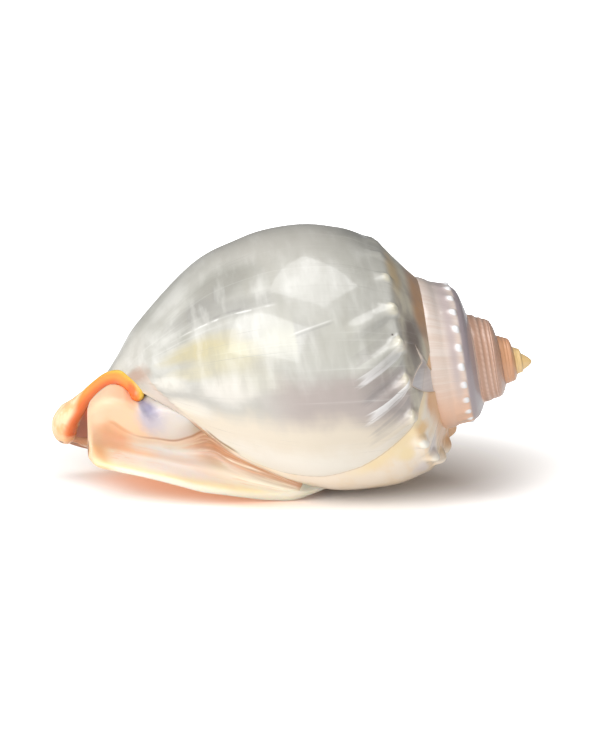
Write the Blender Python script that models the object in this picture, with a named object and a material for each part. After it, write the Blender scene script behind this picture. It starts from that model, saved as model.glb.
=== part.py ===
"""Bonnet shell, grown in one piece: one closed solid with an open, hollow body whorl.

Lengths are in millimetres in the shell's own frame until place() turns them into metres.
The shell's own frame has its origin at the apex.  a runs along the coiling axis from the
apex toward the siphonal end, r is the distance from that axis, and turn is the growth angle
in degrees.  In the finished frame +X points to the apex, +Z is up, and the shell rests on
its outer lip and on the free edge of the columellar shield, with the aperture underneath.
"""

import math

import bmesh
import bpy
import numpy as np

# ---- driving dimensions -------------------------------------------------------------
GROWTH = 1.80            # size ratio from one whorl to the next
AXIS_TILT = 3.6          # degrees, siphonal end lower than the apex
ROLL = 12.0              # degrees, the shell's roll about its axis as it rests
APEX = (47.76, -3.2, 26.33)  # mm, place of the apex in the finished frame
WALL = 1.5               # mm, wall of the body whorl
LIP_R = 1.75             # mm, radius of the rolled outer lip
RIM_R = 1.15             # mm, radius of the rim round the siphonal notch
FIRST_TURN = -1500       # growth angle at which the modelled spire starts
CORE_TURN = -300.0       # growth angle at which the hollow of the shell starts
LIP_TURN = 298.0         # growth angle of the middle of the outer lip
LIP_SWEEP = (9.5, 11.0)  # degrees more toward the suture and toward the siphonal tip
KNOBS = 21               # shoulder knobs on one whorl
KNOB_TURN = 100.0        # growth angle of the middle of one knob
KNOB_H = 0.035           # knob height as a share of the whorl's radius
SPINES = 3               # short spines at the siphonal end of the lip
VOXEL = 0.41             # mm, grid on which the pieces grow together
KEEP = 0.016             # share of the triangles kept

# Half outlines of the body whorl, (a, r) in mm, at growth angles of 0, 180, 258 and 303
# degrees.  Every outline runs suture, ramp, shoulder, flank, base, siphonal end.
OUTLINE_0 = [(16.3, 12.5), (17.1, 15.6), (17.7, 18.4), (18.8, 19.6), (20.9, 20.3),
             (25.7, 21.7), (31.4, 22.4), (38.0, 22.4), (44.8, 20.6), (50.4, 18.1),
             (56.1, 14.9), (61.8, 9.5), (65.6, 5.3), (68.8, 1.5)]
OUTLINE_180 = [(21.9, 16.7), (24.1, 19.4), (26.0, 22.0), (27.9, 23.8), (30.4, 25.1),
               (35.5, 27.2), (42.2, 28.3), (49.8, 27.7), (55.5, 26.0), (61.2, 23.6),
               (66.9, 19.4), (73.5, 12.9), (77.9, 8.0), (81.3, 2.5)]
OUTLINE_258 = [(24.7, 19.0), (27.4, 22.0), (29.6, 25.1), (31.7, 27.2), (34.4, 28.3),
               (39.5, 30.2), (46.7, 31.2), (54.7, 30.6), (60.4, 28.9), (66.1, 26.4),
               (72.2, 22.0), (78.0, 15.8), (81.6, 9.3), (83.4, 3.5)]
OUTLINE_303 = [(26.6, 20.3), (29.5, 23.8), (31.9, 27.0), (34.2, 29.3), (37.1, 30.4),
               (42.2, 32.1), (49.8, 33.1), (58.0, 32.5), (63.7, 31.0), (69.4, 28.7),
               (76.4, 24.6), (83.5, 20.2), (88.6, 16.6), (93.0, 13.2)]
# The same outline on the spire, at the size it would have at 180 degrees.
OUTLINE_SPIRE = [(21.9, 17.5), (23.2, 21.3), (24.7, 25.1), (26.2, 26.8), (27.9, 27.6),
                 (32.7, 29.1), (39.3, 31.2), (45.6, 28.5), (49.8, 23.8), (53.2, 19.0),
                 (56.1, 14.3), (58.5, 9.5), (60.4, 5.7), (61.8, 2.9)]

# Columellar pillar with its fasciole, umbilical hollow and shield, as rows of points from
# the siphonal end (left) to the underside of the body whorl (right): mm from the apex,
# x along the length, y away from the columellar side, z up.
PILLAR = [
    # crest line under the body and over the near side of the canal
    [(-84.3, -6.0, -8.8), (-83.7, -5.5, -7.3), (-82.0, -4.5, -5.6), (-80.0, -4.0, -4.5),
     (-77.8, -4.5, -4.8), (-76.0, -5.5, -6.3), (-74.0, -6.5, -7.0), (-70.9, -8.0, -3.9),
     (-66.3, -10.0, -6.2), (-61.8, -10.5, -9.3), (-57.7, -9.5, -11.8), (-50.8, -8.5, -15.8),
     (-43.7, -8.0, -19.9)],
    # swell of the fasciole
    [(-84.2, -7.0, -9.9), (-83.3, -8.0, -8.7), (-81.4, -9.0, -6.9), (-79.3, -9.5, -6.4),
     (-76.8, -9.7, -7.1), (-74.3, -9.8, -8.6), (-71.7, -10.0, -8.9), (-68.4, -10.5, -8.4),
     (-65.0, -11.0, -9.4), (-61.6, -10.5, -10.6), (-57.6, -9.5, -13.5), (-50.7, -8.5, -17.5),
     (-43.7, -8.0, -21.1)],
    # lower edge of the fasciole
    [(-84.2, -7.0, -11.9), (-83.2, -7.8, -10.7), (-81.2, -8.5, -10.7), (-79.3, -8.7, -10.5),
     (-77.0, -8.5, -12.0), (-74.2, -8.3, -13.2), (-71.0, -8.2, -13.6), (-67.6, -8.2, -13.9),
     (-64.6, -8.0, -13.2), (-61.6, -7.0, -12.4), (-57.6, -7.0, -15.3), (-50.6, -7.0, -19.1),
     (-43.7, -7.5, -22.2)],
    # bottom of the umbilical hollow
    [(-84.2, -7.0, -13.8), (-83.2, -7.0, -13.2), (-81.4, -4.5, -13.8), (-79.7, -3.0, -14.5),
     (-77.6, -2.0, -15.5), (-74.8, -1.5, -16.4), (-71.5, -1.0, -16.9), (-68.0, -1.0, -17.5),
     (-64.5, -1.5, -17.3), (-60.9, -3.0, -16.9), (-56.9, -5.0, -18.5), (-50.3, -6.5, -20.8),
     (-43.6, -7.5, -23.2)],
    # back of the shield
    [(-84.2, -7.5, -16.3), (-83.1, -7.8, -16.0), (-81.2, -6.5, -16.9), (-79.1, -5.5, -17.5),
     (-76.5, -5.0, -18.2), (-73.4, -4.8, -18.8), (-70.0, -4.8, -19.5), (-66.5, -5.2, -20.1),
     (-62.4, -5.7, -20.7), (-58.2, -6.0, -21.4), (-54.1, -6.5, -22.4), (-48.3, -7.0, -23.6),
     (-43.4, -7.5, -24.1)],
    # free edge of the shield
    [(-83.9, -8.5, -17.8), (-82.5, -9.5, -18.7), (-79.9, -10.5, -19.0), (-77.2, -11.0, -19.3),
     (-73.3, -11.5, -20.0), (-70.0, -11.5, -20.7), (-66.2, -11.5, -21.6), (-62.5, -11.0, -22.7),
     (-58.3, -10.5, -23.4), (-54.1, -9.5, -24.2), (-49.8, -8.5, -24.9), (-44.7, -7.5, -25.4),
     (-38.5, -6.0, -24.0)],
    # the same edge on the aperture side
    [(-83.6, -7.3, -18.4), (-82.3, -8.2, -19.4), (-79.8, -9.3, -19.9), (-77.2, -9.8, -20.3),
     (-73.3, -10.2, -21.0), (-70.0, -10.2, -21.8), (-66.2, -10.1, -22.8), (-62.5, -9.6, -23.9),
     (-58.3, -9.0, -24.6), (-54.1, -8.0, -25.4), (-49.8, -6.9, -26.1), (-44.7, -5.8, -26.2),
     (-38.5, -4.6, -24.0)],
    # face of the shield
    [(-84.1, -6.2, -16.3), (-83.0, -6.0, -16.4), (-81.0, -4.8, -17.9), (-79.0, -3.4, -18.9),
     (-76.4, -2.6, -19.8), (-73.3, -2.3, -20.6), (-70.0, -2.1, -21.4), (-66.5, -2.1, -22.2),
     (-62.4, -2.1, -23.0), (-58.2, -2.2, -23.9), (-54.1, -2.4, -24.6), (-48.3, -2.8, -25.2),
     (-40.5, -3.0, -23.9)],
    # columellar wall of the aperture
    [(-84.1, -5.7, -13.8), (-83.1, -5.2, -13.2), (-81.3, -2.4, -14.2), (-79.6, 0.1, -14.9),
     (-77.5, 2.1, -15.9), (-74.7, 3.2, -16.8), (-71.4, 3.8, -17.3), (-68.0, 4.2, -17.8),
     (-64.5, 4.4, -18.0), (-60.9, 4.3, -18.4), (-56.9, 4.0, -19.4), (-50.3, 3.2, -21.6),
     (-43.6, -0.5, -23.2)],
    [(-84.1, -5.6, -11.9), (-83.1, -5.0, -10.7), (-81.2, -2.6, -10.7), (-79.3, -0.2, -10.5),
     (-77.0, 1.6, -11.3), (-74.2, 2.6, -11.8), (-71.0, 3.2, -12.0), (-67.6, 3.6, -12.0),
     (-64.6, 3.8, -12.0), (-61.6, 3.8, -12.3), (-57.6, 3.6, -13.5), (-50.6, 2.8, -16.0),
     (-43.7, -1.0, -20.0)],
    [(-84.2, -5.4, -9.9), (-83.2, -4.8, -8.7), (-81.4, -3.1, -7.3), (-79.3, -1.5, -6.6),
     (-76.8, -0.5, -6.8), (-74.3, -0.2, -7.2), (-71.7, 0.3, -6.0), (-68.4, 0.8, -5.0),
     (-65.0, 0.8, -5.5), (-61.6, 0.8, -7.0), (-57.6, 0.8, -9.0), (-50.7, 0.8, -12.5),
     (-43.7, -1.0, -18.0)],
]

# Rim of the siphonal notch, from the pillar over the top to the lip's tip, mm from the apex.
RIM = [(-75.2, -6.6, -8.0), (-73.9, -5.0, -6.6), (-74.3, -3.6, -5.0), (-76.8, -2.2, -2.8),
       (-78.9, -1.2, -2.4), (-81.4, 0.2, -3.3), (-84.1, 2.0, -5.1), (-88.2, 4.6, -8.7),
       (-91.0, 6.2, -10.9), (-92.6, 7.2, -12.6), (-94.0, 8.2, -15.3), (-94.1, 8.9, -17.6),
       (-93.3, 9.8, -19.3)]
# Growth angles at which the wall of the whorl meets the points of RIM from the third on.
RIM_TURNS = (60.0, 100.0, 140.0, 180.0, 225.0, 268.0, 284.0, 293.0, 300.0, 304.0, 309.0)
# Columella, the pillar wound up along the axis: (a, r).
COLUMELLA = [(9.0, 1.0), (20.0, 1.3), (35.0, 1.9), (50.0, 2.6), (62.0, 3.0), (70.0, 2.2)]
# First whorl: (a, r) of the little cone at the apex.
TIP = [(0.1, 0.25), (0.7, 0.85), (1.6, 1.45), (2.6, 1.9), (3.6, 2.1)]


# ---- curves and surfaces --------------------------------------------------------------
def smooth(x):
    """Smooth step from 0 to 1."""
    x = np.clip(x, 0.0, 1.0)
    return x * x * (3.0 - 2.0 * x)


def spline(points, n):
    """Catmull-Rom curve through points (first axis), n steps to each span."""
    p = np.asarray(points, float)
    p = np.concatenate([[2 * p[0] - p[1]], p, [2 * p[-1] - p[-2]]])
    out = []
    for i in range(len(p) - 3):
        for t in np.arange(n) / n:
            out.append(0.5 * (2 * p[i + 1] + (p[i + 2] - p[i]) * t
                              + (2 * p[i] - 5 * p[i + 1] + 4 * p[i + 2] - p[i + 3]) * t ** 2
                              + (3 * p[i + 1] - p[i] - 3 * p[i + 2] + p[i + 3]) * t ** 3))
    out.append(p[-2])
    return np.array(out)


def size(turn):
    """Growth law: size of the whorl at a growth angle, 1 at 180 degrees."""
    return GROWTH ** ((turn - 180.0) / 360.0)


STEPS = 5
SPIRE = spline(OUTLINE_SPIRE, STEPS)
BODY = [(0.0, 180.0, spline(OUTLINE_0, STEPS) / size(0)),
        (180.0, 180.0, spline(OUTLINE_180, STEPS)),
        (258.0, 78.0, spline(OUTLINE_258, STEPS) / size(258)),
        (303.0, 45.0, spline(OUTLINE_303, STEPS) / size(303))]
SHARE = np.linspace(0.0, 1.0, len(SPIRE))     # 0 at the suture, 1 at the siphonal end
SHOULDER = 3.7 * STEPS


def outline(turn, knobs=True):
    """(a, r) of the whorl's outside at a growth angle, with its shoulder knobs."""
    q = SPIRE
    for end, span, body in BODY:
        q = q + (body - q) * smooth((turn - end + span) / span)
    q = q * size(turn)
    knob = knobs * max(0.0, math.cos(math.radians(KNOBS * (turn - KNOB_TURN))))
    knob *= 1.0 - 0.6 * smooth(turn / 60.0)
    bell = np.exp(-(((np.arange(len(q)) - SHOULDER) / (0.55 * STEPS)) ** 2))
    q[:, 1] *= 1.0 + KNOB_H * knob * bell
    return q


def place(a, r, turn):
    """Shell coordinates to the finished frame, in mm."""
    ang = math.radians(1.0) * (np.asarray(turn, float) + ROLL)
    return tilt(np.stack([-a, -r * np.sin(ang), -r * np.cos(ang)], -1)) + APEX


def tilt(p):
    c, s = math.cos(math.radians(AXIS_TILT)), math.sin(math.radians(AXIS_TILT))
    return np.stack([p[..., 0] * c - p[..., 2] * s, p[..., 1], p[..., 0] * s + p[..., 2] * c], -1)


def inward(q, depth):
    """An outline moved inward by depth along its own normal."""
    d = np.gradient(q, axis=0)
    n = np.stack([d[:, 1], -d[:, 0]], -1)
    n /= np.linalg.norm(n, axis=1, keepdims=True)
    inner = q + n * np.asarray(depth)[:, None]
    inner[:, 1] = np.maximum(inner[:, 1], 0.15 * q[:, 1])
    return inner


def end_turn(share):
    """Growth angle at which the shell stops: the outer lip lies in one plane."""
    return (LIP_TURN + LIP_SWEEP[0] * smooth((0.46 - share) / 0.25)
            + LIP_SWEEP[1] * smooth((share - 0.58) / 0.27))


# ---- meshes ----------------------------------------------------------------------------
def solid(bm, rings, sheet=False):
    """Closed skin through a list of closed rings of points, capped at both ends.

    The rings of a sheet run out along one face and back along the other, so its ends are
    closed by a strip between the two faces instead of a fan.
    """
    made = [[bm.verts.new(p) for p in ring] for ring in rings]
    n = len(made[0])
    for one, two in zip(made, made[1:]):
        for i in range(n):
            bm.faces.new((one[i], one[(i + 1) % n], two[(i + 1) % n], two[i]))
    for ring in (made[0], made[-1]):
        if sheet:
            for i in range(n // 2 - 1):
                bm.faces.new((ring[i], ring[i + 1], ring[n - 2 - i], ring[n - 1 - i]))
            continue
        centre = bm.verts.new(sum((v.co for v in ring), ring[0].co * 0) / n)
        for i in range(n):
            bm.faces.new((ring[i], ring[(i + 1) % n], centre))


def core_rings():
    """The spire, solid out to where the hollow starts."""
    rings = []
    for turn in np.arange(FIRST_TURN, CORE_TURN + 1.0, 3.75):
        q = outline(turn)
        q = np.vstack([[q[0, 0], 0.0], q, [q[-1, 0], 0.0]])
        rings.append(place(q[:, 0], q[:, 1], turn))
    return rings


def turned_rings(sections):
    """A round piece on the coiling axis, from its (a, r) sections."""
    ang = np.arange(0.0, 360.0, 20.0)
    return [place(np.full(len(ang), a), np.full(len(ang), r), ang) for a, r in sections]


def rim_point(turn):
    """Place on the notch's rim that the whorl's edge reaches at a growth angle."""
    at = 5.0 * np.interp(turn, RIM_TURNS, np.arange(2, len(RIM)))
    path = spline(RIM, 5)
    return APEX + np.array([np.interp(at, np.arange(len(path)), path[:, i]) for i in range(3)])


def whorl_rings():
    """The wall of the hollow whorls, from the end of the core to the outer lip."""
    rings = []
    depth = WALL * (0.8 + 0.2 * smooth(SHARE * 3.0))
    first = CORE_TURN - 6.0
    for k in np.linspace(0.0, 1.0, 170):
        turns = first + (end_turn(SHARE) - first) * k
        outer = np.array([outline(t)[i] for i, t in enumerate(turns)])
        inner = inward(outer, depth)
        outer = place(outer[:, 0], outer[:, 1], turns)
        inner = place(inner[:, 0], inner[:, 1], turns)
        pull = (rim_point(turns[-1]) - outer[-1]) * smooth((turns[-1] - 20.0) / 40.0)
        pull = pull * smooth((SHARE - 0.72) / 0.28)[:, None]
        rings.append(np.vstack([outer + pull, (inner + pull)[::-1]]))
    return rings


def tube_rings(path, radii, sides=12):
    """A round bead along a path."""
    path = np.asarray(path)
    t = np.gradient(path, axis=0)
    t /= np.linalg.norm(t, axis=1, keepdims=True)
    side = np.cross(t[0], (0.3, 1.0, 0.2))
    rings = []
    for p, d, rad in zip(path, t, radii):
        side = side - d * side.dot(d)
        side /= np.linalg.norm(side)
        up = np.cross(d, side)
        ang = np.arange(sides) * (2 * math.pi / sides)
        rings.append(p + rad * (np.outer(np.cos(ang), side) + np.outer(np.sin(ang), up)))
    return rings


def lip_path():
    """Middle of the rolled outer lip, from the suture to the siphonal tip."""
    pts = []
    for i, share in enumerate(SHARE):
        if share >= 0.02:
            turn = end_turn(share)
            q = outline(turn, knobs=False)[i]
            pts.append(place(q[0], q[1] - 0.2, turn))
    return np.vstack([pts[:-2], np.array(RIM[-1:]) + APEX])


def pillar_rings():
    """Columella, fasciole and shield, lofted through the rows of PILLAR."""
    rows = np.array(PILLAR)                                  # row, column, xyz
    dense = spline(rows.transpose(1, 0, 2), 4)               # finer along the length
    loop = np.concatenate([dense, dense[:, :1]], axis=1).transpose(1, 0, 2)
    around = spline(loop, 3)[:-1].transpose(1, 0, 2)         # finer round each section
    return [ring + APEX for ring in around]


def spine_rings(path):
    """Short blunt spines on the siphonal end of the lip."""
    out = []
    n = len(path)
    for k in range(SPINES):
        base = path[int(n * (0.80 + 0.075 * k))]
        way = np.array((-0.55, 0.62, -0.40)) * (2.8 - 0.3 * k)
        out.append(tube_rings([base + way * t for t in (-0.3, 0.4, 0.8, 1.05)],
                              (1.3, 1.2, 0.8, 0.3), 10))
    return out


# ---- build -------------------------------------------------------------------------------
def build():
    for old in list(bpy.data.objects):
        bpy.data.objects.remove(old, do_unlink=True)

    bm = bmesh.new()
    solid(bm, core_rings())
    solid(bm, turned_rings(TIP))
    solid(bm, turned_rings(COLUMELLA))
    solid(bm, whorl_rings(), sheet=True)
    solid(bm, pillar_rings())
    lip = lip_path()
    share = np.linspace(0.0, 1.0, len(lip))
    solid(bm, tube_rings(lip, LIP_R * (0.55 + 0.45 * smooth(share * 5.0))
                         * (1.0 - 0.25 * smooth((share - 0.8) / 0.2))))
    rim = spline(RIM, 5) + APEX
    solid(bm, tube_rings(rim, np.full(len(rim), RIM_R)))
    for rings in spine_rings(lip):
        solid(bm, rings)
    bmesh.ops.recalc_face_normals(bm, faces=bm.faces)
    bmesh.ops.scale(bm, vec=(0.001, 0.001, 0.001), verts=bm.verts)
    mesh = bpy.data.meshes.new("shell")
    bm.to_mesh(mesh)
    bm.free()

    shell = bpy.data.objects.new("shell", mesh)
    bpy.context.scene.collection.objects.link(shell)

    grow = shell.modifiers.new("grow together", "REMESH")
    grow.mode = "VOXEL"
    grow.voxel_size = VOXEL / 1000.0
    soften = shell.modifiers.new("soften", "SMOOTH")
    soften.factor = 0.5
    soften.iterations = 3
    facets = shell.modifiers.new("facets", "DECIMATE")
    facets.decimate_type = "COLLAPSE"
    facets.ratio = KEEP
    facets.use_collapse_triangulate = True

    pearl = bpy.data.materials.new("pearl")
    pearl.use_nodes = True
    skin = pearl.node_tree.nodes["Principled BSDF"]
    skin.inputs["Base Color"].default_value = (0.72, 0.70, 0.64, 1.0)
    skin.inputs["Roughness"].default_value = 0.28
    shell.data.materials.append(pearl)


build()
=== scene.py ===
"""Bonnet shell: the fine surface and the finish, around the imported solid.

The shell is grown again from its own rule, on a finer grid.  Lengths of the growth rule are
in millimetres in the shell's own frame: its origin is the apex, a runs along the coiling
axis from the apex toward the siphonal end, r is the distance from that axis, and turn is
the growth angle in degrees.  rise is the place along the outline, from 0 at the suture to 1
at the siphonal end.  Everything handed to Blender is in metres.
"""

import math

import bmesh
import bpy
import numpy as np
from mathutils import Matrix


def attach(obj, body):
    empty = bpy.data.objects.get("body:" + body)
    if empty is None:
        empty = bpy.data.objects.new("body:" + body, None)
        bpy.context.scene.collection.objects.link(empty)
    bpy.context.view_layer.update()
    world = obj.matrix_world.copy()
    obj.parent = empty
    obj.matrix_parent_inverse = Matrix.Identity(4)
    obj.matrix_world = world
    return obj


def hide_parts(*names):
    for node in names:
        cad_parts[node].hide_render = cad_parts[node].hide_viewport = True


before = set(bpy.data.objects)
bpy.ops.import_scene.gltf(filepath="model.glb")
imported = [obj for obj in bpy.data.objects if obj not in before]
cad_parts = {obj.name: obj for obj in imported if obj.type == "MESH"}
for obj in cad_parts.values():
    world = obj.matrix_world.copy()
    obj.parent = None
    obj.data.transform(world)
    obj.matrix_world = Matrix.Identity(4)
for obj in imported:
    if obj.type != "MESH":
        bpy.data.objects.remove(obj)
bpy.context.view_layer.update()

MM = 0.001

# ---- the growth rule, as in the solid ------------------------------------------------
GROWTH = 1.80                # size ratio from one whorl to the next
AXIS_TILT = 3.6              # degrees, siphonal end lower than the apex
ROLL = 12.0                  # degrees, the shell's roll about its axis as it rests
APEX = (47.76, -3.2, 26.33)  # mm, place of the apex
LIP_TURN = 298.0             # growth angle of the middle of the outer lip
LIP_SWEEP = (9.5, 11.0)      # degrees more toward the suture and toward the siphonal tip
WALL = 1.5                   # mm, wall of the body whorl
LIP_R = 1.75                 # mm, radius of the rolled outer lip

# Half outlines (a, r) in mm of the body whorl at growth angles of 0, 180, 258 and 303
# degrees, and of the spire at the size it would have at 180 degrees.  Every outline runs
# suture, ramp, shoulder, flank, base, siphonal end.
OUTLINE_SPIRE = [(21.9, 17.5), (23.2, 21.3), (24.7, 25.1), (26.2, 26.8), (27.9, 27.6),
                 (32.7, 29.1), (39.3, 31.2), (45.6, 28.5), (49.8, 23.8), (53.2, 19.0),
                 (56.1, 14.3), (58.5, 9.5), (60.4, 5.7), (61.8, 2.9)]
OUTLINE_0 = [(16.6, 11.6), (17.7, 14.9), (18.6, 17.8), (19.7, 19.3), (21.6, 20.2),
             (25.7, 21.7), (31.4, 22.4), (38.0, 22.4), (44.8, 20.6), (50.4, 18.1),
             (56.1, 14.9), (61.8, 9.5), (65.6, 5.3), (68.8, 1.5)]
OUTLINE_180 = [(20.6, 16.3), (22.9, 18.4), (25.6, 21.2), (27.9, 23.6), (30.4, 25.1),
               (35.5, 27.2), (42.2, 28.3), (49.8, 27.6), (55.5, 25.8), (61.2, 23.1),
               (66.9, 18.7), (73.5, 12.5), (77.9, 8.0), (81.3, 2.5)]
OUTLINE_258 = [(24.7, 19.0), (27.4, 22.0), (29.6, 25.1), (31.7, 27.2), (34.4, 28.3),
               (39.5, 30.2), (46.7, 31.2), (54.7, 30.6), (60.4, 28.9), (66.1, 26.4),
               (72.2, 22.0), (78.0, 15.8), (81.6, 9.3), (83.4, 3.5)]
OUTLINE_303 = [(26.6, 20.3), (29.5, 23.8), (31.9, 27.0), (34.2, 29.3), (37.1, 30.4),
               (42.2, 32.1), (49.8, 33.1), (58.0, 32.5), (63.7, 31.0), (69.4, 28.7),
               (76.4, 24.6), (83.5, 20.2), (88.6, 16.6), (93.0, 13.2)]

# Columellar pillar with its fasciole, umbilical hollow and shield, as rows of points from
# the siphonal end (left) to the underside of the body whorl (right): mm from the apex.
PILLAR = [
    # crest line under the body and over the near side of the canal
    [(-84.3, -6.0, -8.8), (-83.7, -5.5, -7.3), (-82.0, -4.5, -5.6), (-80.0, -4.0, -4.5),
     (-77.8, -4.5, -4.8), (-76.0, -5.5, -5.8), (-74.0, -6.5, -6.2), (-70.9, -7.6, -6.0),
     (-66.3, -9.0, -7.8), (-61.8, -9.9, -10.0), (-57.7, -9.5, -12.3), (-50.8, -8.5, -15.8),
     (-43.7, -8.0, -19.9)],
    # swell of the fasciole
    [(-84.2, -7.0, -9.9), (-83.3, -8.0, -8.7), (-81.4, -9.0, -6.9), (-79.3, -9.5, -6.4),
     (-76.8, -9.7, -7.1), (-74.3, -9.8, -8.6), (-71.7, -10.0, -8.9), (-68.4, -10.5, -8.4),
     (-65.0, -11.0, -9.4), (-61.6, -10.5, -10.6), (-57.6, -9.5, -13.5), (-50.7, -8.5, -17.5),
     (-43.7, -8.0, -21.1)],
    # lower edge of the fasciole
    [(-84.2, -7.0, -11.9), (-83.2, -7.8, -10.7), (-81.2, -8.5, -10.7), (-79.3, -8.7, -10.5),
     (-77.0, -8.5, -12.0), (-74.2, -8.3, -13.2), (-71.0, -8.2, -13.6), (-67.6, -8.2, -13.9),
     (-64.6, -8.0, -13.2), (-61.6, -7.0, -12.4), (-57.6, -7.0, -15.3), (-50.6, -7.0, -19.1),
     (-43.7, -7.5, -22.2)],
    # bottom of the umbilical hollow
    [(-84.2, -7.0, -13.8), (-83.2, -7.2, -13.2), (-81.4, -6.0, -13.8), (-79.7, -4.7, -14.5),
     (-77.6, -3.8, -15.5), (-74.8, -3.2, -16.4), (-71.5, -2.6, -16.9), (-68.0, -2.4, -17.5),
     (-64.5, -2.6, -17.3), (-60.9, -3.0, -16.9), (-56.9, -5.0, -18.5), (-50.3, -6.5, -20.8),
     (-43.6, -7.5, -23.2)],
    # back of the shield
    [(-84.2, -7.5, -16.3), (-83.1, -7.8, -16.0), (-81.2, -6.5, -16.9), (-79.1, -5.5, -17.5),
     (-76.5, -5.0, -18.2), (-73.4, -4.8, -18.8), (-70.0, -4.8, -19.5), (-66.5, -5.2, -20.1),
     (-62.4, -5.7, -20.7), (-58.2, -6.0, -21.4), (-54.1, -6.5, -22.4), (-48.3, -7.0, -23.6),
     (-43.4, -7.5, -24.1)],
    # free edge of the shield
    [(-83.9, -8.5, -17.8), (-82.5, -9.5, -18.6), (-79.9, -10.5, -18.8), (-77.2, -11.0, -19.0),
     (-73.3, -11.5, -19.6), (-70.0, -11.5, -20.2), (-66.2, -11.5, -21.0), (-62.5, -11.0, -22.0),
     (-58.3, -10.5, -22.8), (-54.1, -9.5, -23.6), (-49.8, -8.5, -24.3), (-44.7, -7.5, -24.8),
     (-38.5, -6.0, -23.6)],
    # the same edge on the aperture side
    [(-83.6, -7.3, -18.4), (-82.3, -8.2, -19.4), (-79.8, -9.3, -19.9), (-77.2, -9.8, -20.3),
     (-73.3, -10.2, -21.0), (-70.0, -10.2, -21.8), (-66.2, -10.1, -22.8), (-62.5, -9.6, -23.9),
     (-58.3, -9.0, -24.6), (-54.1, -8.0, -25.4), (-49.8, -6.9, -26.1), (-44.7, -5.8, -26.2),
     (-38.5, -4.6, -24.0)],
    # face of the shield
    [(-84.1, -6.2, -16.3), (-83.0, -6.0, -16.4), (-81.0, -4.8, -17.9), (-79.0, -3.4, -18.9),
     (-76.4, -2.6, -19.8), (-73.3, -2.3, -20.6), (-70.0, -2.1, -21.4), (-66.5, -2.1, -22.2),
     (-62.4, -2.1, -23.0), (-58.2, -2.2, -23.9), (-54.1, -2.4, -24.6), (-48.3, -2.8, -25.2),
     (-40.5, -3.0, -23.9)],
    # columellar wall of the aperture
    [(-84.1, -5.7, -13.8), (-83.1, -5.2, -13.2), (-81.3, -2.4, -14.2), (-79.6, 0.1, -14.9),
     (-77.5, 2.1, -15.9), (-74.7, 3.2, -16.8), (-71.4, 3.8, -17.3), (-68.0, 4.2, -17.8),
     (-64.5, 4.4, -18.0), (-60.9, 4.3, -18.4), (-56.9, 4.0, -19.4), (-50.3, 3.2, -21.6),
     (-43.6, -0.5, -23.2)],
    # higher on that wall
    [(-84.1, -5.6, -11.9), (-83.1, -5.0, -10.7), (-81.2, -2.6, -10.7), (-79.3, -0.2, -10.5),
     (-77.0, 1.6, -11.3), (-74.2, 2.6, -11.8), (-71.0, 3.2, -12.0), (-67.6, 3.6, -12.0),
     (-64.6, 3.8, -12.0), (-61.6, 3.8, -12.3), (-57.6, 3.6, -13.5), (-50.6, 2.8, -16.0),
     (-43.7, -1.0, -20.0)],
    # its top, beside the crest line
    [(-84.2, -5.4, -9.9), (-83.2, -4.8, -8.7), (-81.4, -3.1, -7.3), (-79.3, -1.5, -6.6),
     (-76.8, -0.5, -6.8), (-74.3, -0.2, -7.2), (-71.7, 0.3, -6.0), (-68.4, 0.8, -5.0),
     (-65.0, 0.8, -5.5), (-61.6, 0.8, -7.0), (-57.6, 0.8, -9.0), (-50.7, 0.8, -12.5),
     (-43.7, -1.0, -18.0)],
]

# Rim of the siphonal notch, from its hooked end on the pillar over the top to the lip's tip,
# mm from the apex, and half the width of its band there.
RIM = [(-74.1, -7.6, -6.9), (-74.7, -6.8, -5.6), (-75.7, -5.4, -4.5), (-77.4, -3.4, -3.8),
       (-78.9, -1.8, -3.6), (-81.1, -0.3, -4.3), (-83.4, 1.5, -6.1), (-86.0, 3.5, -8.7),
       (-87.9, 5.2, -11.0), (-89.8, 6.6, -13.2), (-91.0, 7.8, -15.3), (-91.3, 8.6, -17.4),
       (-91.2, 9.4, -19.3)]
RIM_HALF = (1.45, 1.45, 1.4, 1.45, 1.5, 1.5, 1.5, 1.6, 2.2, 3.1, 3.3, 3.0, 2.4)
# Growth angles at which the wall of the whorl meets the points of RIM from the third on.
RIM_TURNS = (60.0, 100.0, 140.0, 180.0, 225.0, 268.0, 284.0, 293.0, 300.0, 304.0, 309.0)
RIM_CENTRE = (-80.5, -6.0, -12.5)   # the rim's band faces away from here, mm from the apex
MOUTH = (-45.0, 4.0, -26.0)         # middle of the mouth, which the lip's teeth point to

# First whorl at the apex: (a, r) in mm of a little blunt cone.
TIP = [(0.1, 0.25), (0.7, 0.85), (1.6, 1.45), (2.6, 1.9), (3.6, 2.1), (5.0, 2.1)]
DIP = (-372.0, 60.0)      # growth angle and reach in degrees of a slimmer stretch of the spire
DIP_DEPTH = 0.09          # share of its radius that is missing there

# Sculpture: how many there are to a whorl, and the growth angle at the middle of one.
KNOBS = (21.0, 100.0)     # knobs on the shoulder of the body whorl, with the folds below them
BEADS = (24.0, 13.0)      # beads and low folds of the spire
RIBS = (44.0, 0.0)        # ribs across the cords of the older whorls
KNOB_RISE = 0.272
BEAD_RISE = 0.315
CORD_GAP = 0.052          # rise from one cord to the next
# Heights in mm on a whorl of size 1.
KNOB_H = 1.15
BEAD_H = 0.95
CORD_H = 0.32
FLAKE_DEPTH = 0.32

# Edge of the last pearly layer: growth angle at which it ends, for a rise.  Before it lies
# the smooth callus that the shell spread over its own underside.
LAYER_EDGE = [(0.0, 106.0), (0.025, 101.0), (0.138, 74.5), (0.302, 58.5), (0.377, 51.0),
              (0.453, 42.0), (0.535, 35.5), (0.616, 31.5), (0.70, 32.0), (0.76, 40.0),
              (0.81, 53.0), (0.843, 63.0), (0.887, 80.5), (0.925, 122.0), (1.0, 128.0)]

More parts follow.
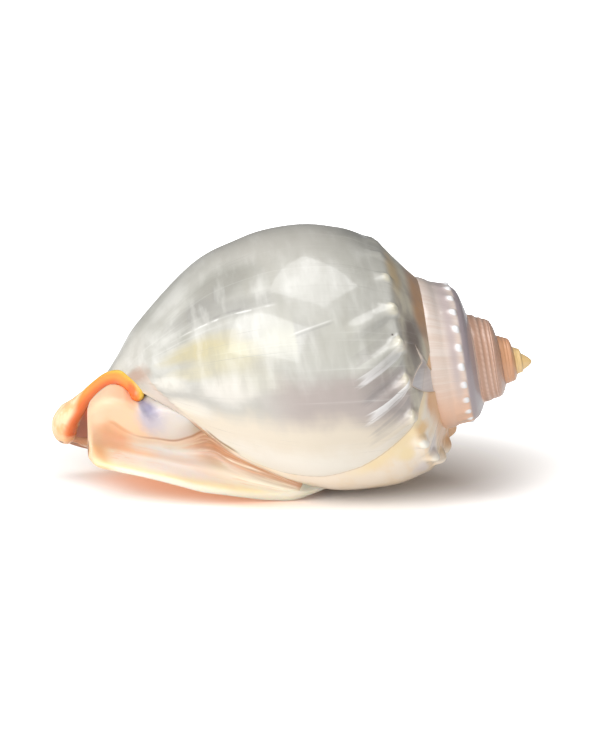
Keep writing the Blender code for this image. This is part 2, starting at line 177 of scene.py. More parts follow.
# ---- how fine the surface is made ------------------------------------------------------
SPAN = 12                # steps from one point of an outline to the next
# Growth angles between which the rings of the wall are evenly spread, and the rings there:
# the hollow body whorl is finest where its near side shows, the spire on its last two whorls.
BODY_TURNS = (-200.0, -60.0, 175.0, LIP_TURN)
BODY_RINGS = (18, 282, 92)
SPIRE_TURNS = (-1500.0, -720.0, -345.0, -50.0)
SPIRE_RINGS = (80, 200, 225)
LAST_TURN = LIP_TURN + LIP_SWEEP[1]
TEETH = 22                        # teeth on the inner side of the outer lip
TOOTHED = (0.16, 0.84)            # share of the lip where they start and end
TOOTH_INSET, TOOTH_DROP = 1.3, 0.2  # mm, inward and down from the middle of the lip
TOOTH = (2.1, 0.85, 0.62)         # mm, half sizes of a tooth: across, up and along the lip
SPINES = 3                        # short spines at the siphonal end of the lip
SPINE_AT = (0.79, 0.065)          # share of the lip at the first, and from each to the next
SPINE_LENGTH = (2.8, 0.3)         # mm, of the first, and how much shorter the next ones are
SPINE_WAY = (-0.55, 0.62, -0.40)  # direction in which they point
# A spine's radius in mm at shares of its length; it starts inside the lip.
SPINE_SHAPE = ((-0.3, 1.3), (0.4, 1.2), (0.8, 0.8), (1.05, 0.3))


# ---- curves ----------------------------------------------------------------------------
def smooth(x):
    """Smooth step from 0 to 1."""
    x = np.clip(x, 0.0, 1.0)
    return x * x * (3.0 - 2.0 * x)


def spline(points, n):
    """Catmull-Rom curve through points (first axis), n steps to each span."""
    p = np.asarray(points, float)
    p = np.concatenate([[2 * p[0] - p[1]], p, [2 * p[-1] - p[-2]]])
    out = []
    for i in range(len(p) - 3):
        for t in np.arange(n) / n:
            out.append(0.5 * (2 * p[i + 1] + (p[i + 2] - p[i]) * t
                              + (2 * p[i] - 5 * p[i + 1] + 4 * p[i + 2] - p[i + 3]) * t ** 2
                              + (3 * p[i + 1] - p[i] - 3 * p[i + 2] + p[i + 3]) * t ** 3))
    out.append(p[-2])
    return np.array(out)


def size(turn):
    """Growth law: size of the whorl at a growth angle, 1 at 180 degrees."""
    return GROWTH ** ((turn - 180.0) / 360.0)


def end_turn(rise):
    """Growth angle at which the shell stops: the outer lip lies in one plane."""
    return (LIP_TURN + LIP_SWEEP[0] * smooth((0.46 - rise) / 0.25)
            + LIP_SWEEP[1] * smooth((rise - 0.58) / 0.27))


def place(a, r, turn):
    """Shell coordinates to the finished frame, in mm."""
    ang = np.radians(np.asarray(turn, float) + ROLL)
    x, y, z = -a, -r * np.sin(ang), -r * np.cos(ang)
    c, s = math.cos(math.radians(AXIS_TILT)), math.sin(math.radians(AXIS_TILT))
    return np.stack([x * c - z * s, y, x * s + z * c], -1) + APEX


def inward(q, depth):
    """An outline moved inward by depth along its own normal."""
    d = np.gradient(q, axis=0)
    n = np.stack([d[:, 1], -d[:, 0]], -1)
    n /= np.linalg.norm(n, axis=1, keepdims=True)
    inner = q + n * np.asarray(depth)[:, None]
    inner[:, 1] = np.maximum(inner[:, 1], 0.15 * q[:, 1])
    return inner


# Growth stages: name, growth angle at which the outline is reached, degrees that it takes
# to change from the stage before, and the outline at the size it would have at 180 degrees.
STAGES = [("spire", -180.0, 1.0, spline(OUTLINE_SPIRE, SPAN)),
          ("whorl_0", 0.0, 180.0, spline(OUTLINE_0, SPAN) / size(0.0)),
          ("whorl_180", 180.0, 180.0, spline(OUTLINE_180, SPAN)),
          ("whorl_258", 258.0, 78.0, spline(OUTLINE_258, SPAN) / size(258.0)),
          ("whorl_303", 303.0, 45.0, spline(OUTLINE_303, SPAN) / size(303.0))]
RISE = np.linspace(0.0, 1.0, len(STAGES[0][3]))


def outline(turn):
    """(a, r) of the whorl's outside at a growth angle, without its relief."""
    q = STAGES[0][3]
    for _, end, span, stage in STAGES[1:]:
        q = q + (stage - q) * smooth((turn - end + span) / span)
    return q * size(turn)


# ---- node trees ------------------------------------------------------------------------
class Field:
    """An output socket of a node tree, with arithmetic that adds Math nodes to the tree."""

    def __init__(self, socket):
        self.socket = socket
        self.tree = socket.id_data

    def __add__(self, other):
        return calc("ADD", self, other)

    def __sub__(self, other):
        return calc("SUBTRACT", self, other)

    def __mul__(self, other):
        return calc("MULTIPLY", self, other)

    def __truediv__(self, other):
        return calc("DIVIDE", self, other)

    def __radd__(self, other):
        return calc("ADD", other, self)

    def __rsub__(self, other):
        return calc("SUBTRACT", other, self)

    def __rmul__(self, other):
        return calc("MULTIPLY", other, self)


def feed(socket, value):
    """Links a field to a socket, or sets the socket to a plain value."""
    if isinstance(value, Field):
        value.tree.links.new(value.socket, socket)
    else:
        socket.default_value = value


def live(sockets, name):
    """The socket of that name which the node's present type uses."""
    return next(s for s in sockets if s.name == name and s.enabled)


def add(tree, kind, out=0, props=(), **inputs):
    """Adds a node, sets its properties, feeds its inputs by name, returns an output."""
    node = tree.nodes.new(kind)
    for name, value in dict(props).items():
        setattr(node, name, value)
    for name, value in inputs.items():
        feed(live(node.inputs, name.replace("_", " ")), value)
    return Field(node.outputs[out] if isinstance(out, int) else live(node.outputs, out))


def tree_of(*values):
    """The node tree of the fields among some values."""
    return next(v.tree for v in values if isinstance(v, Field))


def calc(operation, *values, clamp=False):
    """A Math node on one, two or three values."""
    node = tree_of(*values).nodes.new("ShaderNodeMath")
    node.operation = operation
    node.use_clamp = clamp
    for socket, value in zip(node.inputs, values):
        feed(socket, value)
    return Field(node.outputs[0])


def step(x, low, high):
    """Smooth step of a field from 0 at low to 1 at high."""
    return add(x.tree, "ShaderNodeMapRange", props={"interpolation_type": "SMOOTHSTEP"},
               Value=x, From_Min=low, From_Max=high)


def fall(x, low, high):
    """Smooth step of a field from 1 at low to 0 at high."""
    return 1.0 - step(x, low, high)


def bell(x, middle, width):
    """Gaussian bell of a field, 1 at the middle."""
    d = (x - middle) / width
    return calc("EXPONENT", d * d * -1.0)


def wave(turn, per_whorl, at):
    """Cosine with a crest at a growth angle, so many crests to a whorl."""
    return calc("COSINE", (turn - at) * (per_whorl * math.pi / 180.0))


def vector(x, y, z):
    """A vector from three values, of which one at least is a field."""
    return add(tree_of(x, y, z), "ShaderNodeCombineXYZ", X=x, Y=y, Z=z)


def split(vec):
    """The three parts of a vector."""
    node = vec.tree.nodes.new("ShaderNodeSeparateXYZ")
    feed(node.inputs[0], vec)
    return [Field(part) for part in node.outputs]


def scaled(vec, factor):
    """A vector times a factor."""
    return add(vec.tree, "ShaderNodeVectorMath", props={"operation": "SCALE"},
               Vector=vec, Scale=factor)


def vector_math(operation, one, two, out="Vector"):
    """A Vector Math node on two vectors."""
    node = one.tree.nodes.new("ShaderNodeVectorMath")
    node.operation = operation
    feed(node.inputs[0], one)
    feed(node.inputs[1], two)
    return Field(live(node.outputs, out))


def plus(one, two):
    """The sum of two vectors."""
    return vector_math("ADD", one, two)


def mix(kind, one, two, share):
    """Between one and two, which are both of a kind: VECTOR or RGBA."""
    node = share.tree.nodes.new("ShaderNodeMix")
    node.data_type = kind
    for name, value in (("Factor", share), ("A", one), ("B", two)):
        feed(live(node.inputs, name), value)
    return Field(live(node.outputs, "Result"))


def group_input(tree):
    """The tree's own inputs, by name."""
    node = tree.nodes.new("NodeGroupInput")
    return {s.name: Field(s) for s in node.outputs if s.name}


def geometry_tree(name, inputs):
    """An empty Geometry Nodes tree with named inputs, and those inputs as fields."""
    tree = bpy.data.node_groups.new(name, "GeometryNodeTree")
    tree.interface.new_socket("Geometry", in_out="OUTPUT", socket_type="NodeSocketGeometry")
    for label, kind in inputs:
        tree.interface.new_socket(label, in_out="INPUT", socket_type="NodeSocket" + kind)
    return tree, group_input(tree)


def close_tree(tree, geometry):
    """Ends a Geometry Nodes tree: instances are made real before they leave it."""
    out = tree.nodes.new("NodeGroupOutput")
    feed(out.inputs[0], add(tree, "GeometryNodeRealizeInstances", Geometry=geometry))


def named(tree, name, kind="FLOAT"):
    """A named attribute of the geometry on which the field is read."""
    return add(tree, "GeometryNodeInputNamedAttribute", out="Attribute",
               props={"data_type": kind}, Name=name)


def keep(geometry, name, value):
    """Stores a field on the points of a geometry under a name."""
    return add(geometry.tree, "GeometryNodeStoreNamedAttribute",
               props={"data_type": "FLOAT", "domain": "POINT"},
               Geometry=geometry, Name=name, Value=value)


def at_point(geometry, name, kind, index):
    """A named attribute of another geometry, read at one of its points."""
    node = geometry.tree.nodes.new("GeometryNodeSampleIndex")
    node.data_type = kind
    node.domain = "POINT"
    node.clamp = True
    feed(node.inputs["Geometry"], geometry)
    feed(live(node.inputs, "Value"), named(geometry.tree, name, kind))
    feed(node.inputs["Index"], index)
    return Field(live(node.outputs, "Value"))


def run_tree(tree, name, values):
    """Runs a Geometry Nodes tree and returns its result as a plain mesh."""
    source = bpy.data.objects.new(name, bpy.data.meshes.new(name))
    bpy.context.scene.collection.objects.link(source)
    modifier = source.modifiers.new(name, "NODES")
    modifier.node_group = tree
    for socket in tree.interface.items_tree:
        if socket.in_out == "INPUT":
            modifier[socket.identifier] = values[socket.name]
    graph = bpy.context.evaluated_depsgraph_get()
    mesh = bpy.data.meshes.new_from_object(source.evaluated_get(graph))
    bpy.data.objects.remove(source)
    return mesh


def point_object(name, columns):
    """A helper object that only carries named columns of numbers on its points."""
    count = len(next(iter(columns.values())))
    mesh = bpy.data.meshes.new(name)
    mesh.from_pydata([(0.0, 0.0, 0.0)] * count, [], [])
    for label, values in columns.items():
        values = np.asarray(values, np.float32)
        if values.ndim == 2:
            mesh.attributes.new(label, "FLOAT_VECTOR", "POINT").data.foreach_set(
                "vector", values.ravel())
        else:
            mesh.attributes.new(label, "FLOAT", "POINT").data.foreach_set("value", values)
    helper = bpy.data.objects.new(name, mesh)
    bpy.context.scene.collection.objects.link(helper)
    return helper


# ---- the coil --------------------------------------------------------------------------
def ring_columns(outside, inside, sunk=2.0):
    """One closed ring of the wall: out along the outside, back along the inside.

    outside and inside are lists of rise; the ring's first point is repeated at its end.
    From the rise sunk on the outside dips under the next whorl.
    """
    rise = np.concatenate([outside, inside[::-1], outside[:1]])
    lining = np.concatenate([np.zeros(len(outside)), np.ones(len(inside)), [0.0]])
    columns = {"rise": rise, "lining": lining}
    columns["edge"] = np.interp(rise, *np.array(LAYER_EDGE).T)
    for name, _, _, q in STAGES:
        depth = WALL * (0.8 + 0.2 * smooth(RISE * 3.0))
        inner = inward(q, depth)
        q = q + (inner - q) * 0.4 * smooth((RISE - sunk) / 0.04)[:, None]
        a = np.where(lining > 0.5, np.interp(rise, RISE, inner[:, 0]),
                     np.interp(rise, RISE, q[:, 0]))
        r = np.where(lining > 0.5, np.interp(rise, RISE, inner[:, 1]),
                     np.interp(rise, RISE, q[:, 1]))
        columns[name] = np.stack([a, r, 0.0 * a], -1)
    return columns


def edge_pull():
    """How far the siphonal end of the wall is drawn to the rim, degree by degree."""
    path = spline(RIM, SPAN)
    pull = []
    for turn in np.arange(0.0, LAST_TURN + 1.0):
        at = SPAN * np.interp(turn, RIM_TURNS, np.arange(2, len(RIM)))
        goal = [np.interp(at, np.arange(len(path)), path[:, i]) for i in range(3)]
        end = outline(turn)[-1]
        pull.append((goal + np.array(APEX) - place(end[0], end[1], turn))
                    * smooth((turn - 20.0) / 40.0))
    return {"pull": np.array(pull)}


def relief(turn, rise, past_edge):
    """Height of the sculpture over the plain whorl, in mm on a whorl of size 1."""
    spire = fall(turn, -120.0, -60.0)
    body = 1.0 - spire
    # one row of round beads on the shoulder of the spire, over low axial folds
    bead = step(wave(turn, *BEADS), -0.1, 1.0) * bell(rise, BEAD_RISE, 0.026)
    swell = wave(turn, *BEADS) * bell(rise, 0.35, 0.05)
    height = (bead * BEAD_H + swell * 0.12 - bell(rise, 0.40, 0.014) * 0.2) * spire
    # spiral cords crossed by fine ribs on the older whorls
    old = fall(turn, -420.0, -340.0)
    cord = calc("COSINE", rise * (2.0 * math.pi / CORD_GAP))
    rib = 0.7 + wave(turn, *RIBS) * 0.3
    height = height * (1.0 - old) + cord * rib * old * CORD_H
    # knobs on the shoulder of the body whorl; on the callus they step toward the suture
    lag = calc("MAXIMUM", 60.0 - turn, 0.0)
    ridge = bell(rise + lag * 0.003, KNOB_RISE, 0.042)
    knob = step(wave(turn, *KNOBS), 0.0, 1.0) * ridge
    faint = 1.0 - step(turn, 112.0, 160.0) * 0.7
    callus = calc("MINIMUM", lag * 0.05, 0.8)
    crease = step(wave(turn + rise * 30.0, *KNOBS), -0.5, 1.0) * bell(rise, 0.16, 0.12)
    height = height + (knob * faint * (KNOB_H + callus) + ridge * faint * 0.35) * body
    height = height + crease * callus * 0.6 * step(turn, 22.0, 44.0)
    # slanting folds that run out of the knobs on the near side
    fold = step(wave(slanting(turn, rise), *KNOBS), -0.1, 1.0)
    reach = step(rise, 0.24, 0.29) * fall(rise, 0.36, 0.44)
    near = step(turn, 55.0, 66.0) * fall(turn, 104.0, 122.0)
    height = height + fold * reach * (near * 1.0 + 0.15) * body * step(past_edge, 0.0, 6.0)
    # the last layer stands over the callus, most where it lifts from the shield
    layer = step(past_edge, -0.9, 0.5) * (0.22 + step(rise, 0.6, 0.72) * 0.35)
    height = height + layer * body * fall(rise, 0.86, 0.93)
    # a flake is gone from the ramp
    return height - step(in_flake(turn, rise), -0.004, 0.006) * FLAKE_DEPTH


def slanting(turn, rise):
    """Growth angle at which a fold that slants through this place leaves the shoulder."""
    return turn + (rise - 0.29) * 100.0


def in_flake(turn, rise):
    """How far inside the break beside the suture, where a flake is gone, in rise."""
    upper = calc("MAXIMUM", (turn - 92.5) * 0.0033, (92.5 - turn) * 0.0115) + 0.107
    lower = (turn - 72.0) * 0.021 + 0.05
    seam = calc("MAXIMUM", (turn - 82.5) * 0.0071, 0.0)
    inside = calc("MINIMUM", calc("MINIMUM", upper, lower) - rise, rise - seam)
    return calc("MINIMUM", inside, (102.0 - turn) * 0.01)


def coil_tree():
    """Geometry Nodes tree: sweeps a ring of the wall round the axis by the growth law."""
    tree, given = geometry_tree("Grow whorls", [
        ("Ring", "Object"), ("Edge pull", "Object"), ("Rings", "Int"),
        ("First share", "Float"), ("Second share", "Float"), ("First turn", "Float"),
        ("Second turn", "Float"), ("Third turn", "Float"), ("Last turn", "Float"),
        ("Growth", "Float"), ("Axis tilt", "Float"), ("Roll", "Float"), ("Apex", "Vector"),
        ("Lip swing", "Float"), ("Outside", "Material"), ("Lining", "Material")])
    ring_shape = add(tree, "GeometryNodeObjectInfo", out="Geometry", Object=given["Ring"])
    edge = add(tree, "GeometryNodeObjectInfo", out="Geometry", Object=given["Edge pull"])
    points = add(tree, "GeometryNodeAttributeDomainSize", out="Point Count",
                 props={"component": "MESH"}, Geometry=ring_shape)
    grid = add(tree, "GeometryNodeMeshGrid", out="Mesh",
               Vertices_X=given["Rings"], Vertices_Y=points)
    index = add(tree, "GeometryNodeInputIndex")
    ring = calc("FLOOR", (index + 0.5) / points)
    column = index - ring * points
    share = ring / (given["Rings"] - 1.0)

    def column_value(name, kind="FLOAT"):
        return at_point(ring_shape, name, kind, column)

    def turn_at(stop):
        """Growth angle of the ring, through three even stretches."""
        first, second = given["First share"], given["Second share"]
        stretches = ((0.0, first, given["First turn"], given["Second turn"]),
                     (first, second, given["Second turn"], given["Third turn"]),
                     (second, 1.0, given["Third turn"], stop))
        angle = given["First turn"]
        for low, high, start, end in stretches:
            done = calc("DIVIDE", share - low, calc("SUBTRACT", high, low), clamp=True)
            angle = angle + done * (end - start)
        return angle

    rise = column_value("rise")
    swing = (step(0.46 - rise, 0.0, 0.25) * LIP_SWEEP[0]
             + step(rise, 0.58, 0.85) * LIP_SWEEP[1]) * given["Lip swing"]
    turn = turn_at(given["Last turn"] + swing)
    scale = calc("POWER", given["Growth"], (turn - 180.0) / 360.0)

    shape = column_value(STAGES[0][0], "FLOAT_VECTOR")
    for name, end, span, _ in STAGES[1:]:
        shape = mix("VECTOR", shape, column_value(name, "FLOAT_VECTOR"),
                    step(turn, end - span, end))
    a, r, _ = split(shape)
    a = a * scale
    r = r * scale * (1.0 - bell(turn, *DIP) * DIP_DEPTH)
    # the spire ends just under the surface of the body whorl
    r = r * (1.0 - step(turn, -75.0, -56.0) * (1.0 - given["Lip swing"]) * 0.012)

    angle = (turn + given["Roll"]) * (math.pi / 180.0)
    x = a * -1.0
    y = r * calc("SINE", angle) * -1.0
    z = r * calc("COSINE", angle) * -1.0
    tilt = given["Axis tilt"] * (math.pi / 180.0)
    cos, sin = calc("COSINE", tilt), calc("SINE", tilt)
    spot = plus(vector(x * cos - z * sin, y, x * sin + z * cos), given["Apex"])

    edge_turn = turn_at(given["Last turn"] + given["Lip swing"] * LIP_SWEEP[1])
    low = calc("FLOOR", edge_turn)
    pull = mix("VECTOR", at_point(edge, "pull", "FLOAT_VECTOR", low),
               at_point(edge, "pull", "FLOAT_VECTOR", low + 1.0), edge_turn - low)
    weight = step(rise, 0.72, 1.0) * step(edge_turn, 0.0, 1.0)
    spot = plus(spot, scaled(pull, weight))

    wall = grid
    for name, value in (("turn", turn), ("rise", rise), ("lining", column_value("lining")),
                        ("scale", scale), ("past_edge", turn - column_value("edge"))):
        wall = keep(wall, name, value)
    wall = add(tree, "GeometryNodeSetPosition", Geometry=wall, Position=scaled(spot, MM))
    wall = add(tree, "GeometryNodeMergeByDistance", Geometry=wall, Distance=1e-7)

    outside = 1.0 - named(tree, "lining")
    height = relief(*(named(tree, name) for name in ("turn", "rise", "past_edge")))
    lift = height * named(tree, "scale") * outside * MM
    normal = add(tree, "GeometryNodeInputNormal")
    wall = add(tree, "GeometryNodeSetPosition", Geometry=wall, Offset=scaled(normal, lift))
    wall = keep(wall, "height", height * outside)
    wall = add(tree, "GeometryNodeSetMaterial", Geometry=wall, Material=given["Outside"])
    inner = calc("GREATER_THAN", named(tree, "lining"), 0.5)
    wall = add(tree, "GeometryNodeSetMaterial", Geometry=wall, Selection=inner,
               Material=given["Lining"])
    close_tree(tree, wall)
    return tree


def grow_coil(outside, lining):
    """The hollow body whorl and the spire, as two plain meshes."""
    tree = coil_tree()
    edge = point_object("edge pull", edge_pull())
    # finest over the ramp and shoulder, and where the last layer lifts from the shield
    rise = np.concatenate([np.arange(0.0, 0.352, 0.008), np.arange(0.352, 0.65, 0.017),
                           np.arange(0.65, 0.85, 0.008), np.linspace(0.85, 1.0, 12)])
    body_ring = point_object("body ring", ring_columns(rise, np.linspace(0.0, 1.0, 24)))
    rise = np.concatenate([np.linspace(0.0, 0.25, 13), np.linspace(0.262, 0.42, 20),
                           np.linspace(0.44, 0.56, 7)])
    spire_ring = point_object("spire ring", ring_columns(rise, np.linspace(0.0, 0.56, 5), 0.51))
    common = {"Edge pull": edge, "Growth": GROWTH, "Axis tilt": AXIS_TILT, "Roll": ROLL,
              "Apex": APEX, "Outside": outside, "Lining": lining}
    meshes = []
    for name, ring, rings, turns, swing in (
            ("body whorl", body_ring, BODY_RINGS, BODY_TURNS, 1.0),
            ("spire", spire_ring, SPIRE_RINGS, SPIRE_TURNS, 0.0)):
        total = sum(rings)
        meshes.append(run_tree(tree, name, {
            **common, "Ring": ring, "Rings": total, "First share": rings[0] / total,
            "Second share": (rings[0] + rings[1]) / total, "First turn": turns[0],
            "Second turn": turns[1], "Third turn": turns[2], "Last turn": turns[3],
            "Lip swing": swing}))
    for helper in (edge, body_ring, spire_ring):
        bpy.data.objects.remove(helper)
    return meshes


# ---- pillar, rim and lip ---------------------------------------------------------------
def loft(name, rings, material, **columns):
    """Closed skin through closed rings of points in mm, with a fan at each end."""
    rings = np.asarray(rings)
    count, n = rings.shape[:2]
    points = rings.reshape(-1, 3).tolist() + [rings[0].mean(0), rings[-1].mean(0)]
    faces = [(i * n + j, i * n + (j + 1) % n, (i + 1) * n + (j + 1) % n, (i + 1) * n + j)
             for i in range(count - 1) for j in range(n)]
    faces += [((j + 1) % n, j, count * n) for j in range(n)]
    faces += [((count - 1) * n + j, (count - 1) * n + (j + 1) % n, count * n + 1)
              for j in range(n)]
    mesh = bpy.data.meshes.new(name)
    mesh.from_pydata((np.array(points) * MM).tolist(), [], faces)
    for label, values in columns.items():
        values = np.asarray(values, np.float32).ravel()
        ends = [values[:n].mean(), values[-n:].mean()]
        mesh.attributes.new(label, "FLOAT", "POINT").data.foreach_set(
            "value", np.concatenate([values, ends]).astype(np.float32))
    mesh.materials.append(material)
    return mesh


def pillar(material):
    """Columella, fasciole, umbilical hollow and shield, lofted through PILLAR."""
    along, around = 8, 9
    rows = np.array(PILLAR)
    dense = spline(rows.transpose(1, 0, 2), along)
    loop = np.concatenate([dense, dense[:, :1]], axis=1).transpose(1, 0, 2)
    skin = spline(loop, around)[:-1].transpose(1, 0, 2)
    rings = skin + APEX
    u = np.arange(len(rings))[:, None] / along + np.zeros(rings.shape[1])
    v = np.arange(rings.shape[1])[None, :] / around + np.zeros((len(rings), 1))
    return loft("pillar", rings, material, along=u, around=v)


def facing_path(tree, given):
    """The given path, with its normals turned away from the given centre."""
    path = add(tree, "GeometryNodeObjectInfo", out="Geometry", Object=given["Path"])
    away = plus(add(tree, "GeometryNodeInputPosition"), scaled(given["Centre"], -1.0))
    along = add(tree, "GeometryNodeInputTangent")
    slip = vector_math("DOT_PRODUCT", away, along, "Value")
    square = plus(away, scaled(along, slip * -1.0))
    return add(tree, "GeometryNodeSetCurveNormal", props={"mode": "FREE"},
               Curve=path, Normal=square)


def bead_tree():
    """Geometry Nodes tree: a rounded bead along a path, as thick as the path's radius.

    The bead's points carry along, from 0 to 1, and facing, from 1 on the side away from the
    centre to -1 on the side toward it.
    """
    tree, given = geometry_tree("Bead along a path", [
        ("Path", "Object"), ("Centre", "Vector"), ("Sides", "Int"), ("Flatness", "Float"),
        ("Finish", "Material")])
    path = facing_path(tree, given)
    path = keep(path, "along", add(tree, "GeometryNodeSplineParameter"))
    circle = add(tree, "GeometryNodeCurvePrimitiveCircle", out="Curve",
                 Resolution=given["Sides"], Radius=MM)
    turn = add(tree, "GeometryNodeSplineParameter") * (2.0 * math.pi)
    circle = keep(circle, "facing", calc("COSINE", turn))
    squash = vector(1.0, 1.0 - given["Flatness"], 1.0)
    circle = add(tree, "GeometryNodeTransform", Geometry=circle, Scale=squash)
    tube = add(tree, "GeometryNodeCurveToMesh", Curve=path, Profile_Curve=circle,
               Scale=add(tree, "GeometryNodeInputRadius"), Fill_Caps=True)
    tube = add(tree, "GeometryNodeSetMaterial", Geometry=tube, Material=given["Finish"])
    close_tree(tree, tube)
    return tree


def teeth_tree():
    """Geometry Nodes tree: a row of short smooth teeth on the inner side of a path."""
    tree, given = geometry_tree("Teeth along a path", [
        ("Path", "Object"), ("Centre", "Vector"), ("Count", "Int"), ("Size", "Vector"),
        ("Inset", "Float"), ("Drop", "Float"), ("Finish", "Material")])
    path = facing_path(tree, given)
    row = tree.nodes.new("GeometryNodeCurveToPoints")
    feed(row.inputs["Curve"], path)
    feed(row.inputs["Count"], given["Count"])
    share = add(tree, "GeometryNodeInputIndex") / given["Count"]
    taper = 0.45 + 0.55 * step(share, 0.0, 0.25) - 0.35 * step(share, 0.7, 1.0)
    tooth = add(tree, "GeometryNodeMeshUVSphere", out="Mesh", Segments=12, Rings=8, Radius=1.0)
    teeth = add(tree, "GeometryNodeInstanceOnPoints", Points=Field(row.outputs["Points"]),
                Instance=tooth, Rotation=Field(row.outputs["Rotation"]),
                Scale=scaled(given["Size"], taper))
    shift = plus(scaled(Field(row.outputs["Normal"]), given["Inset"] * -1.0),
                 vector(0.0, 0.0, given["Drop"] * -1.0))
    teeth = add(tree, "GeometryNodeTranslateInstances", Instances=teeth, Translation=shift,
                Local_Space=False)
    teeth = add(tree, "GeometryNodeRealizeInstances", Geometry=teeth)
    teeth = keep(teeth, "tooth", 1.0)
    teeth = add(tree, "GeometryNodeSetMaterial", Geometry=teeth, Material=given["Finish"])
    close_tree(tree, teeth)
    return tree


def path_object(name, points, radii):
    """A curve through points in mm; radii are in mm too."""
    curve = bpy.data.curves.new(name, "CURVE")
    curve.dimensions = "3D"
    line = curve.splines.new("POLY")
    line.points.add(len(points) - 1)
    for spot, p, rad in zip(line.points, points, radii):
        spot.co = (*(p * MM), 1.0)
        spot.radius = rad
    path = bpy.data.objects.new(name, curve)
    bpy.context.scene.collection.objects.link(path)
    return path


def lip_path():
    """Middle of the rolled outer lip, from the suture to the siphonal tip."""
    points = []
    for i, rise in enumerate(RISE):
        if rise >= 0.02:
            turn = end_turn(rise)
            q = outline(turn)[i]
            points.append(place(q[0], q[1] - 0.2, turn))
    return np.vstack([points[:-4], np.array(RIM[-1:]) + APEX])


def rounded(points, radii):
    """The radii of a bead, drawn in at both ends to a round nose."""
    steps = np.linalg.norm(np.diff(points, axis=0), axis=1)
    from_start = np.concatenate([[0.0], np.cumsum(steps)])
    for distance in (from_start, from_start[-1] - from_start):
        nose = np.clip(1.0 - distance / radii, 0.0, 1.0)
        radii = radii * np.maximum(np.sqrt(1.0 - nose * nose), 0.06)
    return radii


def lip_and_rim(cream, orange):
    """The rolled outer lip with its teeth and spines, and the rim of the siphonal notch."""
    lip = lip_path()
    share = np.linspace(0.0, 1.0, len(lip))
    lip_radii = (LIP_R * (0.55 + 0.45 * smooth(share * 5.0))
                 * (1.0 - 0.25 * smooth((share - 0.8) / 0.2)))
    rim = spline(RIM, SPAN) + APEX
    rim_radii = np.interp(np.arange(len(rim)) / SPAN, np.arange(len(RIM)), RIM_HALF)
    rim_centre, mouth = (tuple((np.array(p) + APEX) * MM) for p in (RIM_CENTRE, MOUTH))
    beads = bead_tree()
    jobs = [(beads, "lip", lip, rounded(lip, lip_radii), mouth,
             {"Sides": 20, "Flatness": 0.0, "Finish": cream}),
            (beads, "rim", rim, rounded(rim, rim_radii), rim_centre,
             {"Sides": 24, "Flatness": 0.3, "Finish": orange})]
    toothed = lip[int(TOOTHED[0] * len(lip)):int(TOOTHED[1] * len(lip))]
    jobs.append((teeth_tree(), "teeth", toothed, np.ones(len(toothed)), mouth,
                 {"Count": TEETH, "Size": tuple(np.array(TOOTH) * MM),
                  "Inset": TOOTH_INSET * MM, "Drop": TOOTH_DROP * MM, "Finish": cream}))
    shares, widths = zip(*SPINE_SHAPE)
    stops = np.linspace(shares[0], shares[-1], 14)
    radii = np.interp(stops, shares, widths)
    for k in range(SPINES):
        base = lip[int(len(lip) * (SPINE_AT[0] + SPINE_AT[1] * k))]
        way = np.array(SPINE_WAY) * (SPINE_LENGTH[0] - SPINE_LENGTH[1] * k)
        spine = np.array([base + way * t for t in stops])
        jobs.append((beads, "spine %d" % (k + 1), spine, radii, mouth,
                     {"Sides": 14, "Flatness": 0.0, "Finish": cream}))
    meshes = []
    for tree, name, points, radii, centre, sizes in jobs:
        path = path_object(name, points, radii)
        meshes.append(run_tree(tree, name, {"Path": path, "Centre": centre, **sizes}))
        bpy.data.objects.remove(path)
    return meshes


def apex_cone(material):
    """The blunt cone of the first whorl, turned round the axis."""
    profile = spline(TIP, 6)
    turns = np.arange(0.0, 360.0, 10.0)
    rings = np.array([place(np.full(len(turns), a), np.full(len(turns), r), turns)
                      for a, r in profile])
    ones = np.ones(rings.shape[:2])
    first = ones * SPIRE_TURNS[0]
    return loft("apex", rings, material, turn=first, rise=ones * 0.3, lining=ones * 0.0,
                height=ones * 0.0, past_edge=first)


# ---- finishes --------------------------------------------------------------------------
def new_material(name, *coordinates):
    """A material, its Principled BSDF and the named attributes of the surface as fields."""
    material = bpy.data.materials.new(name)
    material.use_nodes = True
    tree = material.node_tree
    return (material, tree.nodes["Principled BSDF"],
            [add(tree, "ShaderNodeAttribute", out="Fac", props={"attribute_name": label})
             for label in coordinates])


def settle(node, **values):
    """Feeds inputs of a node by name."""
    for name, value in values.items():
        feed(node.inputs[name.replace("_", " ")], value)


def bump(skin, height, strength, depth):
    """Fine unevenness of a finish; depth is in mm."""
    settle(skin, Normal=add(height.tree, "ShaderNodeBump", Strength=strength,
                            Distance=depth * MM, Height=height))


def noise(vec, scale, detail=3.0, rough=0.5):
    """Soft noise that wanders round 0.5."""
    return add(vec.tree, "ShaderNodeTexNoise", Vector=vec, Scale=scale, Detail=detail,
               Roughness=rough)


def tint(base, colour, mask):
    """A colour laid over another where the mask says."""
    base, colour = (c if isinstance(c, Field) else (*c, 1.0) for c in (base, colour))
    return mix("RGBA", base, colour, mask)


def layers(colour, coats):
    """Lays coats over a colour, one after another: each is (colour, mask)."""
    for shade, mask in coats:
        colour = tint(colour, shade, mask)
    return colour


